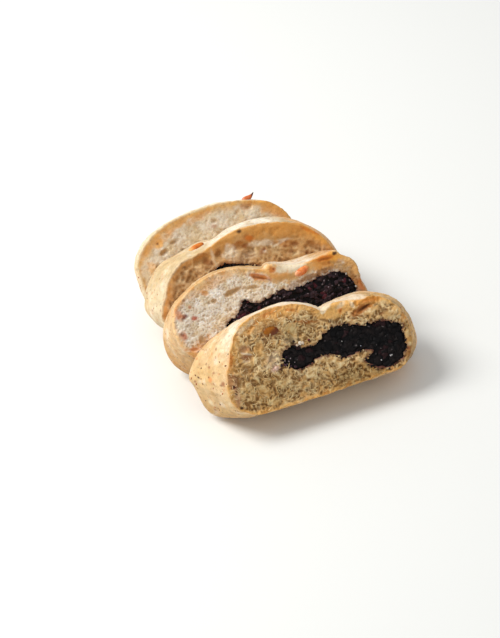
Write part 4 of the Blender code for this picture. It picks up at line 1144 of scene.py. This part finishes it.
def build_filling(index):
    """Berry filling that runs through one slice."""
    thick = THICKNESS[index]
    shares = np.arange(FILLING_STEPS) / (FILLING_STEPS - 1)
    depths = shares * thick
    depths[0], depths[-1] = FILLING_SUNK, thick - FILLING_SHORT
    rings = [filling_ring(index, share, FILLING_GROWTH) for share in shares]
    parts = Parts()
    numbers = [parts.add(place(index, *ring.T, d), FILLING_SIDE, 0.5) for ring, d in zip(rings, depths)]
    parts.join(wall(FILLING_STEPS, HOLE_COUNT, 0, False))
    for rear, step, seed in ((False, FILLING_GRID, 0), (True, REAR_GRID * 0.8, 11)):
        ring = rings[-rear]
        extra = grid_inside(ring, [], step, 0.6)
        triangles = flat_triangles(ring, [], extra)
        relief, tone, gloss = grains(index, *extra.T, nearest_on(ring, *extra.T)[0], seed)
        inner = parts.add(place(index, *extra.T, thick - relief if rear else relief), tone, gloss)
        parts.join(np.concatenate([numbers[-rear], inner])[triangles[:, ::-1] if rear else triangles])
    parts.piece("berry_filling_%d" % (index + 1), "filling", (BERRY,), "filling_%d" % (index + 1))


def build_fruit(name, index, centre, sizes, turn, pull, folds, colour, tones):
    """A wrinkled raisin or a ribbed almond."""
    long, wide, thick = sizes
    nut = folds is None
    angle = np.linspace(0.0, math.pi, FRUIT_ALONG + 1)[1:-1]
    turned_by = np.arange(FRUIT_AROUND) * 2.0 * math.pi / FRUIT_AROUND
    angle, turned_by = np.meshgrid(angle, turned_by, indexing="ij")
    u = -np.cos(angle)
    radius = np.sin(angle) * (1.0 - pull * 0.4 * (1.0 + u))
    bx, by, bz = u * long, radius * wide * np.cos(turned_by), radius * thick * np.sin(turned_by)
    if nut:
        ribs = np.sin(turned_by * 16.0 + 2.0 * noise(bx, by, bz, 2.0, 70))
        wrinkle = 0.05 * ribs + 0.06 * clouds(bx, by, bz, 1.6, 71, 2)
    else:
        fold = np.clip(np.abs(noise(bx * 0.55, by, bz, 1.5, 72 + index)) * 2.4, 0.0, 1.0)
        wrinkle = folds * fold - 0.06 + 0.09 * clouds(bx, by, bz, 3.0, 80 + index, 2)
    grow = 1.0 + wrinkle / max(wide, 1.0)
    lifted = by * grow + pull * np.maximum(u, 0.0) ** 2 * wide * 0.8
    u = np.concatenate([[-long], (bx * (1.0 + 0.4 * (grow - 1.0))).ravel(), [long]])
    v = np.concatenate([[0.0], lifted.ravel(), [pull * wide * 0.8]])
    w = np.concatenate([[0.0], (bz * grow).ravel(), [0.0]])
    c, s = math.cos(math.radians(turn)), math.sin(math.radians(turn))
    mottled = clouds(u, v, w, 1.6, 90 + index, 3)
    for tone, start, full, shares, strength in tones:
        total = shares[0] * u + shares[1] * v + shares[2] * mottled
        colour = mix(colour, tone, smooth(start, full, total) * strength)
    parts = Parts()
    spots = place(index, centre[0] + u * c - v * s, centre[1] + u * s + v * c, centre[2] + w)
    numbers = parts.add(spots, colour, 0.2 if nut else 0.8)
    first, end = numbers[1:1 + FRUIT_AROUND], numbers[-1 - FRUIT_AROUND:-1]
    parts.join(wall(FRUIT_ALONG - 1, FRUIT_AROUND, 1, True))
    parts.join(np.stack([np.zeros(FRUIT_AROUND, int), first, np.roll(first, -1)], axis=1))
    parts.join(np.stack([end, np.full(FRUIT_AROUND, numbers[-1]), np.roll(end, -1)], axis=1))
    parts.piece(name + "_piece", "almond" if nut else "raisin", (ALMOND_SKIN if nut else RAISIN,), name)


def frames(normals, turns):
    """Two unit directions across each normal, turned about it."""
    helper = np.where(np.abs(normals[:, 2:]) < 0.9, (0.0, 0.0, 1.0), (1.0, 0.0, 0.0))
    first = np.cross(normals, helper)
    first /= np.linalg.norm(first, axis=1)[:, None]
    second = np.cross(normals, first)
    c, s = np.cos(turns)[:, None], np.sin(turns)[:, None]
    return first * c + second * s, second * c - first * s


def build_lumps(name, groups, material, slot):
    """Small uneven lumps as one piece. Each group gives centres, normals, half sizes, turns and colours."""
    centres, normals, sizes, turns, colours = (np.concatenate(part) for part in zip(*groups))
    shape = bmesh.new()
    bmesh.ops.create_icosphere(shape, subdivisions=1, radius=1.0)
    corners = np.array([v.co for v in shape.verts])
    triangles = np.array([[v.index for v in f.verts] for f in shape.faces])
    shape.free()
    first, second = frames(normals, turns)
    parts = Parts()
    for k, centre in enumerate(centres):
        uneven = 1.0 + 0.35 * (hashed(np.arange(len(corners)), k, 0, 77) - 0.5)
        local = corners * uneven[:, None] * sizes[k] * MM
        points = centre + local[:, :1] * first[k] + local[:, 1:2] * second[k] + local[:, 2:] * normals[k]
        points[:, 2] = np.maximum(points[:, 2], LOWEST * MM)
        parts.join(triangles + parts.add(points, colours[k], 0.6)[0])
    parts.piece(name, slot, (material,))


def crust_flecks(index, rings):
    """Bran flecks that lie in the crust."""
    count = FLECK_COUNTS[index]
    column, deep, big, shade, turn = (spread(count, seed + index) for seed in (40, 50, 60, 70, 80))
    grid = np.stack([place(index, *ring.T, d) for ring, d in rings])
    step = np.linalg.norm(grid[1:] - grid[:-1], axis=2).mean(axis=1)
    area = np.cumsum((step * np.linalg.norm(np.roll(grid, 1, axis=1) - grid, axis=2).sum(axis=1)[1:])[1:-1])
    row = 1 + np.minimum(np.searchsorted(area / area[-1], deep), len(rings) - 4)
    column = (column * RING_COUNT).astype(int)
    here = grid[row, column]
    along = grid[row, (column + 2) % RING_COUNT] - grid[row, column - 2]
    inward = grid[row + 1, column] - grid[row - 1, column]
    normals = np.cross(inward, along)
    normals /= np.linalg.norm(normals, axis=1)[:, None] + 1e-12
    keep = (here[:, 2] > 1.5 * MM) & (normals[:, 2] > -0.6)
    big = big ** 3
    sizes = np.stack([0.36 + 0.8 * big, 0.28 + 0.36 * big, 0.08 + 0.04 * big], axis=1)
    shades = np.array(FLECKS)[(shade * 0.999 * len(FLECKS)).astype(int)]
    return here[keep], normals[keep], sizes[keep], turn[keep] * ANY_WAY, shades[keep]


def build_threads():
    """Thin threads of crumb that curl over the hollows of the first cut face."""
    index = 0
    ring, hole = outline(slice_turns(index, 0), 120), filling_ring(index, 0.0)
    low, high = ring.min(axis=0), ring.max(axis=0)
    x = low[0] + (high[0] - low[0]) * spread(THREAD_COUNT * 3, 110 + index)
    h = low[1] + (high[1] - low[1]) * spread(THREAD_COUNT * 3, 120 + index)
    keep = within(ring, [hole], x, h) & (nearest_on(ring, x, h)[0] > 2.0) & (nearest_on(hole, x, h)[0] > 1.6)
    keep &= (skin_weight(index, x, h) < 0.2) & (pit_depth(index, x, h)[0] == 0.0) & (x < THREADS_END)
    x, h = x[keep][:THREAD_COUNT], h[keep][:THREAD_COUNT]
    parts = Parts()
    base, _, light, _ = CRUMB[index]
    u = np.linspace(0.0, 1.0, THREAD_STEPS)
    random = zip(*(spread(len(x), 130 + 10 * j + index) for j in range(6)))
    for along, up, (heading, bend, size, thick, lift, pale) in zip(x, h, random):
        angle = heading * 2.0 * math.pi + (bend - 0.5) * 3.4 * (u - 0.5)
        length = 1.6 + 2.8 * size
        taper = (0.1 + 0.11 * thick) * (0.55 + 0.45 * np.sin(math.pi * u))
        line_x = along + np.cumsum(np.cos(angle)) * length / THREAD_STEPS
        line_h = up + np.cumsum(np.sin(angle)) * length / THREAD_STEPS
        line_d = 0.55 - (0.55 + 0.3 * lift) * np.sin(math.pi * u)
        colour = mix(base, light, 0.35 + 0.65 * pale)
        # The threads take the painted light and shade of the face's marks.
        colour = marked(index, colour[None], np.array([along]), np.array([up]), FACTORS)
        rows = []
        for around in np.arange(THREAD_SIDES) * 2.0 * math.pi / THREAD_SIDES:
            side, deep = np.cos(around) * taper, np.sin(around) * taper
            spots = place(index, line_x - np.sin(angle) * side, line_h + np.cos(angle) * side, line_d + deep)
            rows.append(parts.add(spots, colour))
        for low, high in zip(rows, rows[1:] + rows[:1]):
            parts.join(np.stack([low[:-1], high[:-1], high[1:], low[1:]], axis=1))
    parts.piece("crumb_threads", "bread", (BREAD_CRUMB,))


def edge_bits(index, count, inward, seed):
    """Small lumps along the outline of a filling: centres, normals, half sizes and turns."""
    ring = filling_ring(index, 0.0)
    at, off, size, deep, turn = (spread(count, seed + k + index) for k in range(0, 50, 10))
    at = (at * len(ring)).astype(int)
    spots = ring[at] - normals_out(ring)[at] * (inward + 0.9 * (off - 0.5))[:, None]
    sizes = (0.24 + 0.46 * size ** 2)[:, None] * (1.2, 1.0, 0.8)
    return place(index, *spots.T, 0.25 + 0.5 * deep), facing(count), sizes, turn * ANY_WAY


def loose_grains(index, listed):
    """Named grains on a cut face: centres, normals, half sizes, turns and colours."""
    x, h, radius, deep = np.array([entry[:4] for entry in listed]).T
    sizes, turns = radius[:, None] * (1.15, 1.0, 0.85), spread(len(listed), 300 + index) * ANY_WAY
    colours = np.array([entry[4] for entry in listed])
    return place(index, x, h, deep), facing(len(listed)), sizes, turns, colours


def texture(tree, where, scale, detail=None, roughness=0.5):
    """Values of fine noise or, where no detail is given, of scattered cells."""
    made = tree.nodes.new("ShaderNodeTexVoronoi" if detail is None else "ShaderNodeTexNoise")
    made.inputs["Scale"].default_value = scale
    if detail is not None:
        made.inputs["Detail"].default_value = detail
        made.inputs["Roughness"].default_value = roughness
    tree.links.new(where, made.inputs["Vector"])
    return made.outputs["Distance" if detail is None else "Fac"]


def attribute(tree, name, output):
    """Values that the mesh holds at its points."""
    made = tree.nodes.new("ShaderNodeAttribute")
    made.attribute_name = name
    return made.outputs[output]


def ramp(tree, source, low, high, dark, light):
    """Colours from dark to light between two positions."""
    made = tree.nodes.new("ShaderNodeValToRGB")
    for element, position, colour in zip(made.color_ramp.elements, (low, high), (dark, light)):
        element.position = position
        element.color = (*colour, 1.0)
    tree.links.new(source, made.inputs["Fac"])
    return made.outputs["Color"]


def multiplied(tree, first, second, amount):
    """Product of two colours, blended in by an amount."""
    made = tree.nodes.new("ShaderNodeMix")
    made.data_type = "RGBA"
    made.blend_type = "MULTIPLY"
    made.inputs[0].default_value = amount
    tree.links.new(first, made.inputs[6])
    tree.links.new(second, made.inputs[7])
    return made.outputs[2]


def new_material(name, finish, textures=(), tints=(), bump=None, rough=None):
    """A material with its finish set on the shader, and with textures: scale, detail and roughness of each.

    tints: texture's number, the ends of its ramp, dark, light, and how far it multiplies the mesh's tint.
    bump: texture's number, strength, distance. rough: texture's number, or None for the mesh's gloss, and the
    ends of its ramp with the roughness there.
    """
    material = bpy.data.materials.new(name)
    material.use_nodes = True
    tree = material.node_tree
    shader = tree.nodes["Principled BSDF"]
    for key, value in finish.items():
        shader.inputs[key].default_value = value
    if textures:
        where = tree.nodes.new("ShaderNodeTexCoord").outputs["Object"]
        sources = [texture(tree, where, *entry) for entry in textures]
        colour = attribute(tree, "tint", "Color")
        for k, low, high, dark, light, amount in tints:
            colour = multiplied(tree, colour, ramp(tree, sources[k], low, high, dark, light), amount)
        tree.links.new(colour, shader.inputs["Base Color"])
    if bump:
        made = tree.nodes.new("ShaderNodeBump")
        made.inputs["Strength"].default_value, made.inputs["Distance"].default_value = bump[1:]
        tree.links.new(sources[bump[0]], made.inputs["Height"])
        tree.links.new(made.outputs["Normal"], shader.inputs["Normal"])
    if rough:
        k, low, high, start, end = rough
        source = attribute(tree, "gloss", "Fac") if k is None else sources[k]
        tree.links.new(ramp(tree, source, low, high, (start,) * 3, (end,) * 3), shader.inputs["Roughness"])
    return material


BRIGHT = (1.0, 1.0, 1.0)
BREAD = {"Subsurface Weight": 0.12, "Subsurface Radius": (1.0, 0.7, 0.4), "Subsurface Scale": 0.0012}
BREAD_GRAIN = (1500.0, 3.0, 0.6)
BREAD_TINT = (0, 0.3, 0.7, (0.92, 0.9, 0.87), (1.07, 1.07, 1.07), 1.0)
# Dry crumb with fine grain, pores and specks.
BREAD_CRUMB = new_material(
    "bread_crumb", {**BREAD, "Roughness": 0.85, "Specular IOR Level": 0.25},
    (BREAD_GRAIN, (900.0,), (420.0,)),
    (BREAD_TINT, (1, 0.08, 0.4, (0.92, 0.88, 0.82), BRIGHT, 0.8),
     (2, 0.05, 0.1, (0.45, 0.32, 0.22), BRIGHT, 0.7)),
    (0, 0.35, 0.0002),
)
# Pale baked crust with uneven flour, pinholes, fine wrinkles and a soft sheen.
BREAD_CRUST = new_material(
    "bread_crust", {**BREAD, "Specular IOR Level": 0.35, "Sheen Weight": 0.08, "Sheen Roughness": 0.5},
    (BREAD_GRAIN, (190.0, 5.0, 0.62), (560.0,), (520.0, 4.0, 0.6)),
    (BREAD_TINT, (1, 0.35, 0.62, (0.93, 0.89, 0.82), (1.06, 1.06, 1.07), 0.9),
     (2, 0.06, 0.17, (0.6, 0.45, 0.33), BRIGHT, 0.6)),
    (3, 0.45, 0.0004), (1, 0.35, 0.65, 0.5, 0.68),
)
BRAN_HUSK = new_material(
    "bran", {"Roughness": 0.75, "Specular IOR Level": 0.3},
    ((2200.0, 2.0),), ((0, 0.3, 0.7, (0.75, 0.72, 0.7), (1.2, 1.2, 1.2), 1.0),),
)
# Moist dark berries with fine seeds, glossy where the mesh says so.
BERRY = new_material(
    "berry_filling", {"Specular IOR Level": 0.16},
    ((1100.0, 2.0, 0.5),), ((0, 0.3, 0.75, (0.8, 0.78, 0.8), (1.2, 1.15, 1.15), 1.0),),
    (0, 0.25, 0.00015), (None, 0.0, 1.0, 0.62, 0.26),
)
FRUIT = {"Subsurface Radius": (1.0, 0.45, 0.15), "Subsurface Scale": 0.0015, "Specular IOR Level": 0.3,
         "Coat Roughness": 0.25}
FRUIT_TINTS = ((0, 0.3, 0.7, (0.88, 0.85, 0.8), (1.1, 1.1, 1.1), 1.0),)
RAISIN = new_material(
    "golden_raisin", {**FRUIT, "Roughness": 0.3, "Subsurface Weight": 0.3, "Coat Weight": 0.12},
    ((700.0, 3.0),), FRUIT_TINTS, (0, 0.15, 0.0002),
)
ALMOND_SKIN = new_material(
    "almond_skin", {**FRUIT, "Roughness": 0.6, "Subsurface Weight": 0.0, "Coat Weight": 0.0},
    ((1700.0, 3.0),), FRUIT_TINTS, (0, 0.15, 0.0002),
)


def build_stage():
    """Pale floor, soft light and the camera."""
    scene = bpy.context.scene
    mesh = bpy.data.meshes.new("floor")
    mesh.from_pydata([(-4, -4, 0), (4, -4, 0), (4, 4, 0), (-4, 4, 0)], [], [(0, 1, 2, 3)])
    plain = {"Base Color": (0.87, 0.875, 0.85, 1.0), "Roughness": 0.7}
    mesh.materials.append(new_material("pale_floor", plain))
    floor = bpy.data.objects.new("floor", mesh)
    scene.collection.objects.link(floor)

    world = bpy.data.worlds.new("soft_room")
    world.use_nodes = True
    sky = world.node_tree.nodes["Background"].inputs
    sky["Color"].default_value, sky["Strength"].default_value = (0.97, 0.985, 1.0, 1.0), 0.56
    scene.world = world

    light = bpy.data.lights.new("window", "AREA")
    light.shape = "DISK"
    light.size, light.energy, light.color = 0.75, 15.0, (1.0, 0.985, 0.96)
    lamp = bpy.data.objects.new("window", light)
    toward = Vector((-0.56, 0.3, 0.82)).normalized()
    lamp.location = toward * 1.3
    lamp.rotation_euler = toward.to_track_quat("Z", "Y").to_euler()
    scene.collection.objects.link(lamp)

    view = bpy.data.cameras.new("photo_view")
    view.sensor_width, view.lens, view.clip_end = 36.0, 109.7555, 20.0
    camera = bpy.data.objects.new("photo_view", view)
    scene.collection.objects.link(camera)
    right, up = (0.929184, -0.364731, -0.059895), (0.277865, 0.582439, 0.763909)
    back, spot = (-0.243736, -0.726455, 0.642539), (-0.288648, -0.814325, 0.738484)
    camera.matrix_world = Matrix([*zip(right, up, back, spot), (0.0, 0.0, 0.0, 1.0)])
    scene.camera = camera
    scene.view_settings.view_transform = "Standard"


slice_rings = [build_slice(index) for index in range(len(SLICES))]
flecks = [crust_flecks(index, rings) for index, rings in enumerate(slice_rings)]
build_lumps("bran_flecks", flecks, BRAN_HUSK, "bread")
for index in range(len(FILLINGS)):
    build_filling(index)
for entry in PIECES:
    build_fruit(*entry)
crumb_bits_and_glints, berry_bits = [loose_grains(0, PALE_GRAINS_AND_GLINTS)], [loose_grains(0, PURPLE_GRAINS)]
for index in range(len(FILLINGS)):
    tints = mix(CRUMB[index][0], CRUMB[index][2], spread(CRUMB_BITS, 350 + index)) * BIT_SHADE[index]
    crumb_bits_and_glints.insert(-1, (*edge_bits(index, CRUMB_BITS, 0.1, 310), tints))
    tones = np.array(FILLING_TONES[index])[[0, 1, 1, 2]]
    tints = tones[(spread(BERRY_BITS, 450 + index) * 3.999).astype(int)]
    berry_bits.insert(-1, (*edge_bits(index, BERRY_BITS, -0.25, 410), tints))
build_lumps("crumb_bits_and_glints", crumb_bits_and_glints, BREAD_CRUMB, "bread")
build_lumps("berry_bits", berry_bits, BERRY, "filling")
build_threads()
build_stage()
